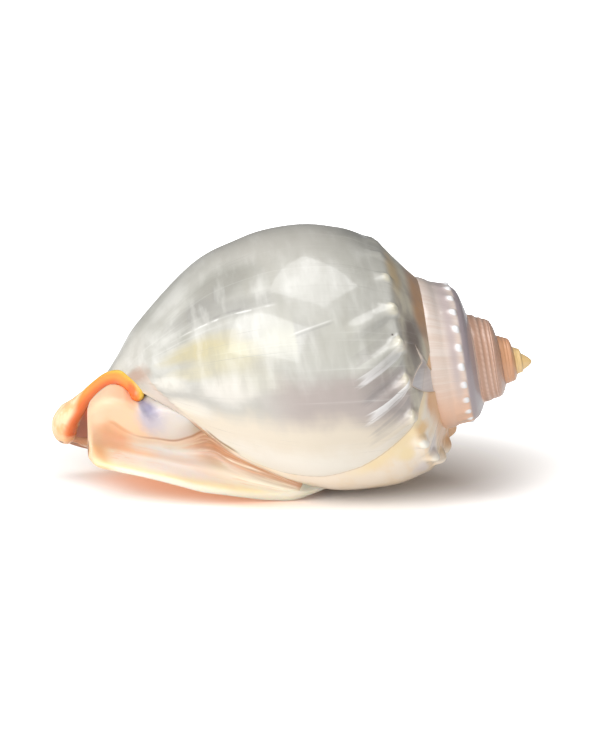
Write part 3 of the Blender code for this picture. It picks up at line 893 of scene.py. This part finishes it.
def patch_group():
    """Shader group: a soft oval patch in the surface's own coordinates."""
    tree = bpy.data.node_groups.new("Soft patch", "ShaderNodeTree")
    for name in ("Along", "Across", "Middle along", "Middle across", "Length", "Width", "Wander"):
        tree.interface.new_socket(name, in_out="INPUT", socket_type="NodeSocketFloat")
    tree.interface.new_socket("Mask", in_out="OUTPUT", socket_type="NodeSocketFloat")
    given = group_input(tree)
    du = (given["Along"] - given["Middle along"]) / given["Length"]
    dv = (given["Across"] - given["Middle across"]) / given["Width"]
    ragged = noise(vector(du, dv, given["Middle along"]), 2.3, 4.0, 0.6) - 0.5
    distance = calc("SQRT", du * du + dv * dv) + ragged * given["Wander"]
    out = tree.nodes.new("NodeGroupOutput")
    feed(out.inputs[0], fall(distance, 0.25, 1.0))
    return tree


PATCH = patch_group()


def patch(along, across, middle, extent, wander=0.5):
    """A soft patch round middle=(along, across), extent=(length, width)."""
    node = along.tree.nodes.new("ShaderNodeGroup")
    node.node_tree = PATCH
    values = (along, across, *middle, *extent, wander)
    for socket, value in zip(node.inputs, values):
        feed(socket, value)
    return Field(node.outputs[0])


def paint(colour, along, across, zones):
    """Lays soft patches over a colour: each is (shade, middle, half extent, strength)."""
    return layers(colour, ((shade, patch(along, across, middle, extent) * strength)
                           for shade, middle, extent, strength in zones))


def pearl_finish():
    """Grey mother-of-pearl of the outside, with its growth lines and colour zones."""
    material, skin, (turn, rise, past_edge, height) = new_material(
        "pearl", "turn", "rise", "past_edge", "height")
    streak = noise(vector(turn * 0.35, rise * 1.6, 0.0), 1.0, 5.0, 0.65)
    fine = noise(vector(turn * 1.1, rise * 2.2, 5.0), 1.0, 3.0, 0.6)
    band = noise(vector(turn * 0.05, rise * 16.0, 3.0), 1.0, 3.0)
    spire = fall(turn, -120.0, -60.0)

    # last pearly layer: grey over the back, lilac-grey and then warm cream toward the floor
    colour = tint((0.50, 0.49, 0.44), (0.60, 0.59, 0.54), step(band, 0.35, 0.7))
    level = turn + (band - 0.5) * 14.0 + (streak - 0.5) * 6.0
    toward_tip = step(rise, 0.53, 0.66)
    for shade, low, high, share in (
            ((0.46, 0.395, 0.365), 80.0, 92.0, 1.0 - toward_tip * 0.85),
            ((0.76, 0.67, 0.54), 60.0, 75.0, 1.0), ((0.84, 0.79, 0.70), 42.0, 58.0, 1.0)):
        colour = tint(colour, shade, fall(level, low, high) * share)
    colour = paint(colour, turn, rise, [
        # back: darker toward the shoulder and before the siphonal end, partly painted shade, and
        # paler along that end, partly painted light where it faces the floor
        ((0.50, 0.48, 0.43), (165.0, 0.52), (40.0, 0.26), 0.8),
        ((0.34, 0.33, 0.29), (172.0, 0.31), (30.0, 0.15), 0.9),
        ((0.33, 0.32, 0.28), (139.0, 0.67), (17.0, 0.14), 0.95),
        ((0.31, 0.30, 0.27), (131.0, 0.74), (12.0, 0.11), 0.95),
        ((0.31, 0.30, 0.27), (123.0, 0.67), (7.0, 0.18), 0.7),
        ((0.62, 0.60, 0.54), (155.0, 0.94), (60.0, 0.11), 0.9),
        ((0.66, 0.65, 0.60), (158.0, 0.80), (14.0, 0.06), 0.8),
        # flank: grey, cream and pale yellow, lilac-brown under the shoulder
        ((0.53, 0.52, 0.46), (101.0, 0.45), (17.0, 0.13), 0.85),
        ((0.46, 0.45, 0.40), (103.0, 0.58), (11.0, 0.13), 0.95),
        ((0.44, 0.43, 0.39), (107.0, 0.515), (7.0, 0.06), 0.7),
        ((0.36, 0.35, 0.30), (117.5, 0.80), (6.0, 0.05), 0.8),
        ((0.44, 0.43, 0.38), (137.0, 0.34), (12.0, 0.07), 0.7),
        ((0.56, 0.53, 0.43), (95.0, 0.68), (14.0, 0.14), 0.9),
        ((0.56, 0.49, 0.28), (106.0, 0.745), (10.0, 0.14), 0.9),
        ((0.60, 0.55, 0.36), (99.0, 0.69), (11.0, 0.11), 0.6),
        ((0.61, 0.56, 0.39), (93.0, 0.78), (7.0, 0.08), 0.7),
        ((0.66, 0.63, 0.46), (102.0, 0.66), (6.0, 0.08), 0.3),
        ((0.64, 0.62, 0.53), (86.0, 0.66), (8.0, 0.13), 0.8),
        ((0.90, 0.85, 0.75), (68.0, 0.80), (9.0, 0.07), 0.5),
        ((0.80, 0.77, 0.69), (86.0, 0.84), (10.0, 0.06), 0.8),
        ((0.36, 0.31, 0.29), (78.0, 0.36), (14.0, 0.08), 0.85),
        ((0.78, 0.74, 0.67), (82.0, 0.70), (11.0, 0.10), 0.75),
        # far side and underside of the body whorl
        ((0.60, 0.57, 0.50), (225.0, 0.50), (40.0, 0.40), 0.8),
        ((0.74, 0.62, 0.50), (285.0, 0.50), (28.0, 0.60), 0.8),
    ])
    # spiral bands broken into lighter and darker blocks by the growth lines
    block = noise(vector(turn * 0.045, rise * 30.0, 9.0), 1.0, 3.0)
    flank = (step(turn, 74.0, 88.0) * (1.0 - step(turn, 128.0, 150.0) * 0.4)
             * step(rise, 0.28, 0.34))
    colour = layers(colour, [
        ((0.88, 0.87, 0.82), step(block, 0.50, 0.68) * flank * 0.22),
        ((0.36, 0.34, 0.28), step(0.50 - block, 0.0, 0.16) * flank * 0.24),
    ])
    # dark ramp between suture and shoulder, with its orange-brown stripe and a patch of painted
    # shade on the near side
    mottle = step(noise(vector(turn * 0.05, rise * 9.0, 1.0), 1.0, 3.0), 0.35, 0.65)
    ramp = tint((0.36, 0.32, 0.28), (0.62, 0.57, 0.45), mottle)
    ramp = paint(ramp, turn, rise, [((0.62, 0.46, 0.24), (146.0, 0.21), (24.0, 0.07), 0.8),
                                    ((0.20, 0.16, 0.14), (106.0, 0.15), (17.0, 0.08), 0.9)])
    colour = tint(colour, ramp, step(0.262 - rise, -0.02, 0.05))
    wide = step(turn, 100.0, 122.0)
    stripe = fall(rise, 0.05 + wide * 0.03, 0.07 + wide * 0.07) * (0.3 + wide * 0.6)
    colour = layers(colour, [
        ((0.52, 0.26, 0.11), stripe * (0.75 + mottle * 0.25)),
        ((0.70, 0.62, 0.55), bell(rise, 0.012, 0.010) * wide * 0.6),
    ])
    # painted highlight: pale cream on the tops of the shoulder knobs
    knobs = bell(rise, KNOB_RISE, 0.03) * step(height, 0.75, 1.4)
    colour = tint(colour, (0.84, 0.78, 0.60), knobs * 0.75)
    # silvery facets on the slanting folds of the near side: a painted highlight on one side of
    # each fold and painted shade on the other
    slant = slanting(turn, rise)
    thread = noise(vector(slant * 0.45, rise * 4.0, 6.0), 1.0, 3.0)
    folds = (bell(turn + rise * 40.0, 92.0, 17.0) * step(rise, 0.25, 0.28)
             * fall(rise + (thread - 0.5) * 0.06, 0.395, 0.425))
    fold_light_shade = wave(slant, KNOBS[0], KNOBS[1] - 3.0) + (thread - 0.5) * 2.2
    colour = layers(colour, [
        ((0.93, 0.91, 0.90), step(fold_light_shade, 0.35, 0.75) * folds * 0.9),
        ((0.30, 0.27, 0.26), step(0.0 - fold_light_shade, 0.2, 0.8) * folds * 0.75),
        # bright and dark growth lines
        ((0.95, 0.94, 0.90), step(streak, 0.56, 0.85) * 0.35),
        ((0.30, 0.28, 0.25), step(0.42 - streak, 0.0, 0.3) * 0.35),
        ((0.34, 0.33, 0.30), step(0.36 - fine, 0.0, 0.06) * 0.5),
    ])
    # a growth scar on the flank, drawn as a broken painted highlight line over a painted shade
    # line
    scar_light_shade = (step(rise, 0.54, 0.60) * fall(rise, 0.72, 0.84)
            * (0.25 + step(noise(vector(turn * 0.2, rise * 26.0, 4.0), 1.0), 0.45, 0.6)))
    crooked = turn + (fine - 0.5) * 1.6
    colour = layers(colour, [
        ((0.30, 0.29, 0.27), bell(crooked, 121.2, 0.7) * scar_light_shade * 0.55),
        ((0.92, 0.91, 0.88), bell(crooked, 119.4, 0.5) * scar_light_shade * 0.6),
    ])
    # a short scratch beside it, and the crisp end of the pale flank
    across = turn + (rise - 0.49) * 61.0
    scratch = step(rise, 0.44, 0.46) * fall(rise, 0.52, 0.54)
    colour = layers(colour, [
        ((0.30, 0.29, 0.27), bell(across, 106.9, 0.5) * scratch * 0.35),
        ((0.92, 0.91, 0.88), bell(across, 108.0, 0.4) * scratch * 0.38),
    ])
    pale = (step(rise + (fine - 0.5) * 0.012, 0.520, 0.527) * fall(rise, 0.55, 0.64)
            * bell(turn, 104.0, 7.0))
    colour = layers(colour, [
        ((0.66, 0.65, 0.54), pale * 0.6),
        # small dark spot on the shoulder, the painted shade of a pit
        ((0.10, 0.08, 0.07), bell(turn, 105.0, 0.5) * bell(rise, 0.296, 0.005)),
    ])

    # callus below the edge of the last layer
    callus = tint((0.97, 0.79, 0.57), (0.98, 0.86, 0.71), step(band, 0.35, 0.6))
    callus = tint(callus, (0.97, 0.77, 0.42), bell(past_edge, -3.0, 5.0) * 0.7
                  * fall(rise, 0.42, 0.52))
    callus = paint(callus, turn, rise, [
        ((0.78, 0.70, 0.69), (38.0, 0.14), (9.0, 0.08), 0.85),
        ((0.82, 0.75, 0.73), (24.0, 0.28), (12.0, 0.07), 0.9),
        ((0.92, 0.60, 0.26), (56.0, 0.20), (6.0, 0.10), 1.0),
        ((0.76, 0.40, 0.17), (66.0, 0.07), (13.0, 0.07), 1.0),
        ((0.99, 0.80, 0.46), (44.0, 0.33), (8.0, 0.05), 0.9),
        ((0.52, 0.24, 0.11), (38.0, 0.80), (20.0, 0.07), 1.0),
    ])
    callus = layers(callus, [
        ((0.82, 0.50, 0.26), step(0.085 - rise, -0.03, 0.04) * 0.9),
        # painted highlight: near white on the tops of the knobs of the callus
        ((1.0, 0.95, 0.84), step(height, 0.9, 1.7) * step(turn, 24.0, 40.0)),
    ])
    # pinkish-grey skin between the last layer and the fasciole, brown beside the rim
    under = step(rise, 0.80, 0.85) * step(turn, 40.0, 58.0)
    callus = tint(callus, (0.66, 0.56, 0.48), under)
    fading = fall(rise, 0.88, 0.945)
    colour = layers(colour, [
        (callus, step(past_edge, 0.1, -0.1) * fading),
        ((0.46, 0.31, 0.23), patch(turn, rise, (101.0, 0.945), (22.0, 0.075)) * 0.9),
        # painted shade: brownish pink on the pearl under the tip of the rim
        ((0.70, 0.40, 0.28), step(turn, 298.0, 304.0) * step(rise, 0.88, 0.92)),
    ])
    # painted shadow: a dark line along the edge of the last layer and a dark slit where it lifts
    # from the shield, then a cream line along that edge
    lifted = step(rise, 0.715, 0.74) * fall(rise, 0.775, 0.79)
    shown = step(turn, -60.0, 0.0) * fading
    colour = tint(colour, (0.25, 0.13, 0.06),
                  bell(past_edge, -0.5, 0.35 + lifted * 0.8) * (0.40 + lifted * 0.5) * shown)
    slit_shade = step(past_edge, 1.7, 2.4) * fall(past_edge, 4.0, 7.0) * lifted
    colour = layers(colour, [
        ((0.30, 0.17, 0.07), slit_shade * 0.95),
        ((0.99, 0.84, 0.62), bell(past_edge, 0.7, 1.2) * (0.10 + lifted * 0.90) * shown),
    ])
    # the break beside the suture: under layer, a chalky edge lit as a painted highlight, and a
    # painted shadow line
    flake = in_flake(turn, rise)
    plate = tint((0.46, 0.41, 0.40), (0.66, 0.63, 0.64), step(88.0 - turn, -4.0, 6.0))
    plate = tint(plate, (0.80, 0.77, 0.76), step(streak, 0.45, 0.7) * 0.5)
    colour = layers(colour, [
        (plate, step(flake, -0.002, 0.004) * 0.9),
        ((0.90, 0.76, 0.64), bell(flake, 0.007, 0.008) * step(rise, 0.08, 0.10)
         * step(turn, 76.0, 79.0)),
        ((0.16, 0.11, 0.08), bell(flake, -0.004, 0.004) * 0.5),
    ])

    # spire: dark ramp, white beads, pink-cream band that warms toward the front
    whorl = tint((0.88, 0.71, 0.60), (0.95, 0.82, 0.73), step(streak, 0.4, 0.65))
    front = fall(turn, -316.0, -272.0)
    whorl = layers(whorl, [
        ((0.92, 0.55, 0.36), front * 0.85),
        ((0.56, 0.49, 0.46), step(turn, -262.0, -215.0) * 0.85 * bell(rise, 0.37, 0.07)),
        ((0.62, 0.51, 0.50), bell(rise, 0.355, 0.03) * (1.0 - front) * 0.8),
        ((0.42, 0.35, 0.37), step(0.285 - rise, -0.03, 0.04) * step(rise, 0.02, 0.06)),
        ((0.99, 0.98, 0.99), step(height, 0.15, 0.5) * bell(rise, BEAD_RISE, 0.035)),
    ])
    # older whorls
    old = fall(turn, -430.0, -350.0)
    cords = tint((0.62, 0.36, 0.25), (0.80, 0.54, 0.42), step(height, -0.1, 0.3))
    cords = layers(cords, [
        ((0.80, 0.41, 0.22), fall(turn, -900.0, -740.0)),
        ((1.0, 0.69, 0.31), fall(turn, -1300.0, -1050.0)),
    ])
    whorl = layers(whorl, [
        (cords, old),
        ((0.30, 0.24, 0.22), step(0.33 - fine, 0.0, 0.08) * 0.4),
    ])
    colour = tint(colour, whorl, spire)

    settle(skin, Base_Color=colour, Roughness=0.26 + fine * 0.16)
    settle(skin, Coat_Weight=0.7, Coat_IOR=1.62, Coat_Roughness=0.08)
    bump(skin, streak + fine * 0.35, 0.35, 0.2)
    return material


def lining_finish():
    """Glossy cream to orange-brown lining of the aperture."""
    material, skin, (turn, rise) = new_material("lining", "turn", "rise")
    cloud = noise(vector(turn * 0.03, rise * 7.0, 2.0), 1.0, 4.0)
    colour = tint((0.80, 0.46, 0.28), (0.90, 0.66, 0.48), step(cloud, 0.35, 0.65))
    colour = tint(colour, (0.96, 0.82, 0.66), step(turn, 262.0, 292.0) * 0.8)
    # the canal's lining: deep orange, partly painted shade, and darker brown toward the lip as
    # painted shade under the rim's tip
    near_lip_shade = step(turn, 286.0, 300.0)
    tip = tint((0.84, 0.15, 0.03), (0.50, 0.19, 0.12), near_lip_shade)
    colour = tint(colour, tip, step(rise, 0.84, 0.93))
    settle(skin, Base_Color=colour, Roughness=0.22 + cloud * 0.2)
    settle(skin, Coat_Weight=0.4, Coat_Roughness=0.12)
    return material


def waxy(skin, depth):
    """Light sinks a little into the thick callus, red deepest; depth is in mm."""
    settle(skin, Subsurface_Weight=0.35, Subsurface_Radius=(1.0, 0.5, 0.28),
           Subsurface_Scale=depth * MM, Coat_Weight=0.4, Coat_Roughness=0.15)


def callus_finish():
    """Cream and peach callus of the pillar and its shield."""
    material, skin, (along, around) = new_material("callus", "along", "around")
    grain = noise(vector(along * 0.5, around * 4.0, 0.0), 1.0, 4.0, 0.6)
    cloud = noise(vector(along * 0.5, around * 0.8, 7.0), 1.0, 3.0)
    # cream dome at the siphonal end, white fasciole with a bluish spot of painted shade under the
    # hook of the rim
    colour = tint((0.93, 0.63, 0.41), (0.76, 0.68, 0.62), step(along, 5.0, 6.6))
    colour = layers(colour, [
        ((0.88, 0.56, 0.35), fall(along, 0.8, 1.6) * 0.8),
        ((0.62, 0.55, 0.50), step(along, 5.8, 6.8) * fall(around, 0.15, 0.75)),
        ((0.66, 0.56, 0.43), step(along, 7.8, 9.0)),
    ])
    colour = paint(colour, along, around, [
        ((0.57, 0.53, 0.62), (5.8, 1.15), (1.3, 1.0), 0.85),
        ((0.32, 0.29, 0.40), (5.9, 0.65), (0.8, 0.8), 1.0),
        ((0.22, 0.19, 0.25), (5.6, 0.75), (0.4, 0.45), 0.5)])
    # umbilical hollow under the fasciole, deep peach at its siphonal end
    hollow = tint((1.0, 0.58, 0.36), (1.0, 0.77, 0.60), step(along, 3.6, 5.0))
    hollow = layers(hollow, [
        ((0.62, 0.31, 0.17), step(along, 7.2, 9.2)),
        ((0.99, 0.80, 0.62), step(grain, 0.45, 0.7) * step(along, 4.0, 6.0)),
    ])
    # painted highlight: near white where the hollow meets the shield
    hollow = paint(hollow, along, around, [((1.0, 0.98, 0.93), (6.3, 3.5), (2.6, 1.1), 1.0)])
    inside = step(around, 1.95, 2.3) * fall(around, 2.9, 3.9) * step(along, 0.7, 2.2)
    colour = layers(colour, [
        (hollow, inside),
        # painted shadow: a dark brown line along the upper edge of the hollow
        ((0.45, 0.19, 0.08), bell(around, 2.15, 0.08) * step(along, 3.0, 7.0) * 0.8),
        ((0.80, 0.42, 0.22), patch(along, around, (3.6, 2.1), (1.3, 0.22)) * 0.8),
    ])
    # shield: cream-white with a near-white painted highlight, yellow along its free edge and at
    # the siphonal corner
    shield = tint((0.99, 0.93, 0.79), (0.98, 0.86, 0.71), step(cloud, 0.5, 0.7) * 0.5)
    shield = paint(shield, along, around, [
        ((1.0, 0.99, 0.96), (6.0, 4.2), (4.0, 0.9), 1.0),
        ((1.0, 0.86, 0.73), (8.4, 4.0), (1.4, 0.4), 0.6)])
    shield = layers(shield, [
        ((0.93, 0.56, 0.26), fall(along, 1.6, 3.0) * 0.85),
        ((0.99, 0.84, 0.50), bell(around, 4.95, 0.3) * 0.7 * fall(along, 9.0, 11.0)),
    ])
    colour = tint(colour, shield, step(around, 3.6, 4.0) * step(along, 0.6, 1.2))
    # face toward the mouth and the columella
    face = tint((0.95, 0.66, 0.42), (0.98, 0.88, 0.76), step(cloud, 0.35, 0.6))
    face = tint(face, (0.90, 0.42, 0.18), step(around, 7.2, 8.6) * 0.8)
    colour = layers(colour, [
        (face, step(around, 5.6, 6.4)),
        ((0.97, 0.93, 0.88), step(grain, 0.6, 0.8) * 0.4),
    ])
    # peach streaks, fainter on the painted highlight
    peach = step(0.47 - grain, 0.0, 0.12) * step(around, 2.3, 2.8) * fall(around, 4.4, 4.9)
    colour = tint(colour, (0.93, 0.55, 0.33), peach * step(along, 2.0, 3.0)
                  * (0.40 - 0.3 * patch(along, around, (6.0, 3.9), (3.2, 1.2))))
    settle(skin, Base_Color=colour, Roughness=0.27 + cloud * 0.12)
    waxy(skin, 2.5)
    bump(skin, grain, 0.2, 0.15)
    return material


def lip_finish():
    """Cream outer lip, peach inside, with pale teeth."""
    material, skin, (along, facing, tooth) = new_material("lip", "along", "facing", "tooth")
    cloud = noise(vector(along * 14.0, facing * 0.8, 0.0), 1.0, 3.0)
    colour = tint((0.97, 0.87, 0.72), (0.96, 0.72, 0.46), step(cloud, 0.45, 0.65))
    colour = layers(colour, [
        ((0.90, 0.46, 0.20), step(facing * -1.0, 0.2, 0.9) * 0.7),
        # painted shade: dark orange-brown at the siphonal end of the lip, under the rim's tip
        ((0.80, 0.33, 0.17), step(along, 0.87, 0.92)),
        ((0.99, 0.93, 0.84), tooth),
    ])
    settle(skin, Base_Color=colour, Roughness=0.3)
    waxy(skin, 2.0)
    return material


def rim_finish():
    """Orange rim of the siphonal notch, yellow on its outer edge as a painted highlight, deep
    orange on its inner side as painted shade, and cream at the tip.
    """
    material, skin, (along, facing) = new_material("orange rim", "along", "facing")
    cloud = noise(vector(along * 9.0, facing, 0.0), 1.0, 3.0)
    # painted highlight and shade: yellow where the band faces away from the notch, deep orange
    # where it faces in
    colour = tint((0.97, 0.30, 0.04), (0.99, 0.58, 0.08), step(facing, 0.1, 0.95))
    colour = layers(colour, [
        ((0.80, 0.15, 0.02), step(facing * -1.0, 0.0, 0.9) * 0.9),
        ((0.90, 0.15, 0.02), patch(along, facing, (0.07, -0.1), (0.09, 1.0))),
    ])
    # the tip is cream with an orange outline and a small dark chip
    tip = step(along + facing * 0.10, 0.56, 0.68)
    cream = tint((0.97, 0.52, 0.24), (1.0, 0.74, 0.46), step(cloud, 0.38, 0.58))
    colour = layers(colour, [
        (cream, tip * step(facing, -1.0, -0.65)),
        ((0.98, 0.62, 0.32), tip * step(facing, 0.82, 1.0) * 0.8),
        ((0.98, 0.55, 0.27), step(along, 0.86, 0.94) * 0.8),
        ((0.16, 0.07, 0.03), patch(along, facing, (0.955, -0.4), (0.016, 0.3))),
    ])
    settle(skin, Base_Color=colour, Roughness=0.25)
    waxy(skin, 2.0)
    return material


# ---- one shell -------------------------------------------------------------------------
def join(meshes, name):
    """Joins plain meshes into one object, closes their ends and turns the faces outwards."""
    objects = []
    for mesh in meshes:
        if mesh.materials[0] is None:
            mesh.materials.pop(index=0)
        solid = bmesh.new()
        solid.from_mesh(mesh)
        bmesh.ops.holes_fill(solid, edges=solid.edges, sides=0)
        bmesh.ops.recalc_face_normals(solid, faces=solid.faces)
        for face in solid.faces:
            face.smooth = True
        solid.to_mesh(mesh)
        solid.free()
        piece = bpy.data.objects.new(mesh.name, mesh)
        bpy.context.scene.collection.objects.link(piece)
        objects.append(piece)
    shell = objects[0]
    with bpy.context.temp_override(active_object=shell, selected_editable_objects=objects,
                                   object=shell):
        bpy.ops.object.join()
    shell.name = name
    shell.data.name = name
    return shell


def build_shell():
    """The whole shell with its five finishes, as one object."""
    pearl, lining, callus = pearl_finish(), lining_finish(), callus_finish()
    lip, orange = lip_finish(), rim_finish()
    meshes = grow_coil(pearl, lining)
    meshes.append(apex_cone(pearl))
    meshes.append(pillar(callus))
    meshes += lip_and_rim(lip, orange)
    return join(meshes, "bonnet_shell")


# ---- studio ----------------------------------------------------------------------------
WINDOW = (-0.77, -0.60, 0.22)    # direction from which the room is brightest
ROOM = (0.18, 0.98)              # brightness of the dim side, and what the bright side adds
PAPER_HALF = 12.0                # m, half the side of the floor
# Soft boxes: place, width and height in m, and brightness, 1 being that of white paper.
LAMPS = {"overhead box": ((-0.05, -0.07, 0.62), 0.42, 0.42, 2.6),
         "front box": ((-0.58, -0.72, 0.50), 0.8, 0.6, 3.0)}
LENS = 100.0                     # mm, on a sensor 36 mm wide
CAMERA_AT = (0.0242, -0.3959, 0.1062)
CAMERA_TURN = (78.0, 0.0, 3.0)   # degrees
# Middles and half extents in m of two ovals on the paper: outside the first the paper glows
# white, so the shell's shadow inside it is partly painted shade, and a painted peach shadow and
# glow lie along the second, on the near left side of the shell.
SHADE = ((0.000, 0.020), (0.040, 0.026))
GLOW = ((0.002, 0.012), (0.046, 0.031))


def paper_finish():
    """White paper: it glows outside an oval round the shell, so the shadow inside is partly
    painted, with a painted peach shadow and glow along one side.
    """
    material, skin, _ = new_material("white paper")
    tree = material.node_tree
    ground = add(tree, "ShaderNodeTexCoord", out="Object")

    def distance(middle, extent):
        """Distance on the paper from an oval's middle, 1 on its edge."""
        spot = add(tree, "ShaderNodeMapping", props={"vector_type": "TEXTURE"}, Vector=ground,
                   Location=(*middle, 0.0), Scale=(*extent, 1.0))
        return add(tree, "ShaderNodeVectorMath", out="Value", props={"operation": "LENGTH"},
                   Vector=spot)

    x, y, _ = split(ground)
    seen = add(tree, "ShaderNodeLightPath", out="Is Camera Ray")
    white = step(distance(*SHADE), 0.75, 2.2)
    ring = distance(*GLOW)
    # painted peach shadow and glow along the near left side of the shell
    warm = (step(ring, 0.30, 0.55) * fall(ring, 0.62, 1.02)
            * fall(x, -0.008, 0.010) * fall(y, 0.004, 0.018)) * seen
    light = tint((0.0, 0.0, 0.0), (1.0, 1.0, 1.0), (0.1 + 0.9 * seen) * white)
    # painted shade: the paper is warmer where it does not glow
    paper = tint((0.92, 0.86, 0.81), (0.92, 0.92, 0.92), white)
    settle(skin, Roughness=0.9, Emission_Strength=1.0,
           Emission_Color=tint(light, (0.55, 0.26, 0.16), warm),
           Base_Color=tint(paper, (0.70, 0.36, 0.22), warm))
    return material


def studio():
    """Plain white floor, soft light and a long lens a little above the level."""
    scene = bpy.context.scene
    scene.view_settings.view_transform = "Standard"

    floor_mesh = bpy.data.meshes.new("floor")
    corners = [(x * PAPER_HALF, y * PAPER_HALF, 0.0)
               for x, y in ((-1.0, -1.0), (1.0, -1.0), (1.0, 1.0), (-1.0, 1.0))]
    floor_mesh.from_pydata(corners, [], [(0, 1, 2, 3)])
    floor_mesh.materials.append(paper_finish())
    floor = bpy.data.objects.new("floor", floor_mesh)
    scene.collection.objects.link(floor)

    world = bpy.data.worlds.new("studio")
    scene.world = world
    world.use_nodes = True
    tree = world.node_tree
    back = tree.nodes["Background"]
    seen = add(tree, "ShaderNodeLightPath", out="Is Camera Ray")
    way = add(tree, "ShaderNodeTexCoord", out="Generated")
    room = ROOM[0] + step(vector_math("DOT_PRODUCT", way, WINDOW, "Value"), 0.0, 1.0) * ROOM[1]
    settle(back, Color=(1.0, 1.0, 1.0, 1.0), Strength=room + (1.0 - room) * seen)

    for name, (spot, width, height, glow) in LAMPS.items():
        light = bpy.data.lights.new(name, "AREA")
        light.shape = "RECTANGLE"
        light.size, light.size_y = width, height
        light.energy = glow * math.pi * width * height
        item = bpy.data.objects.new(name, light)
        item.location = spot
        item.rotation_euler = direction(spot)
        scene.collection.objects.link(item)

    lens = bpy.data.cameras.new("camera")
    lens.lens = LENS
    lens.sensor_width = 36.0
    camera = bpy.data.objects.new("camera", lens)
    camera.location = CAMERA_AT
    camera.rotation_euler = [math.radians(angle) for angle in CAMERA_TURN]
    scene.collection.objects.link(camera)
    scene.camera = camera


def direction(away):
    """Euler angles that point an object's +Z along away."""
    x, y, z = away
    return (math.atan2(math.hypot(x, y), z), 0.0, math.atan2(x, -y))


shell = build_shell()
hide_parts("shell")
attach(shell, "root")
studio()
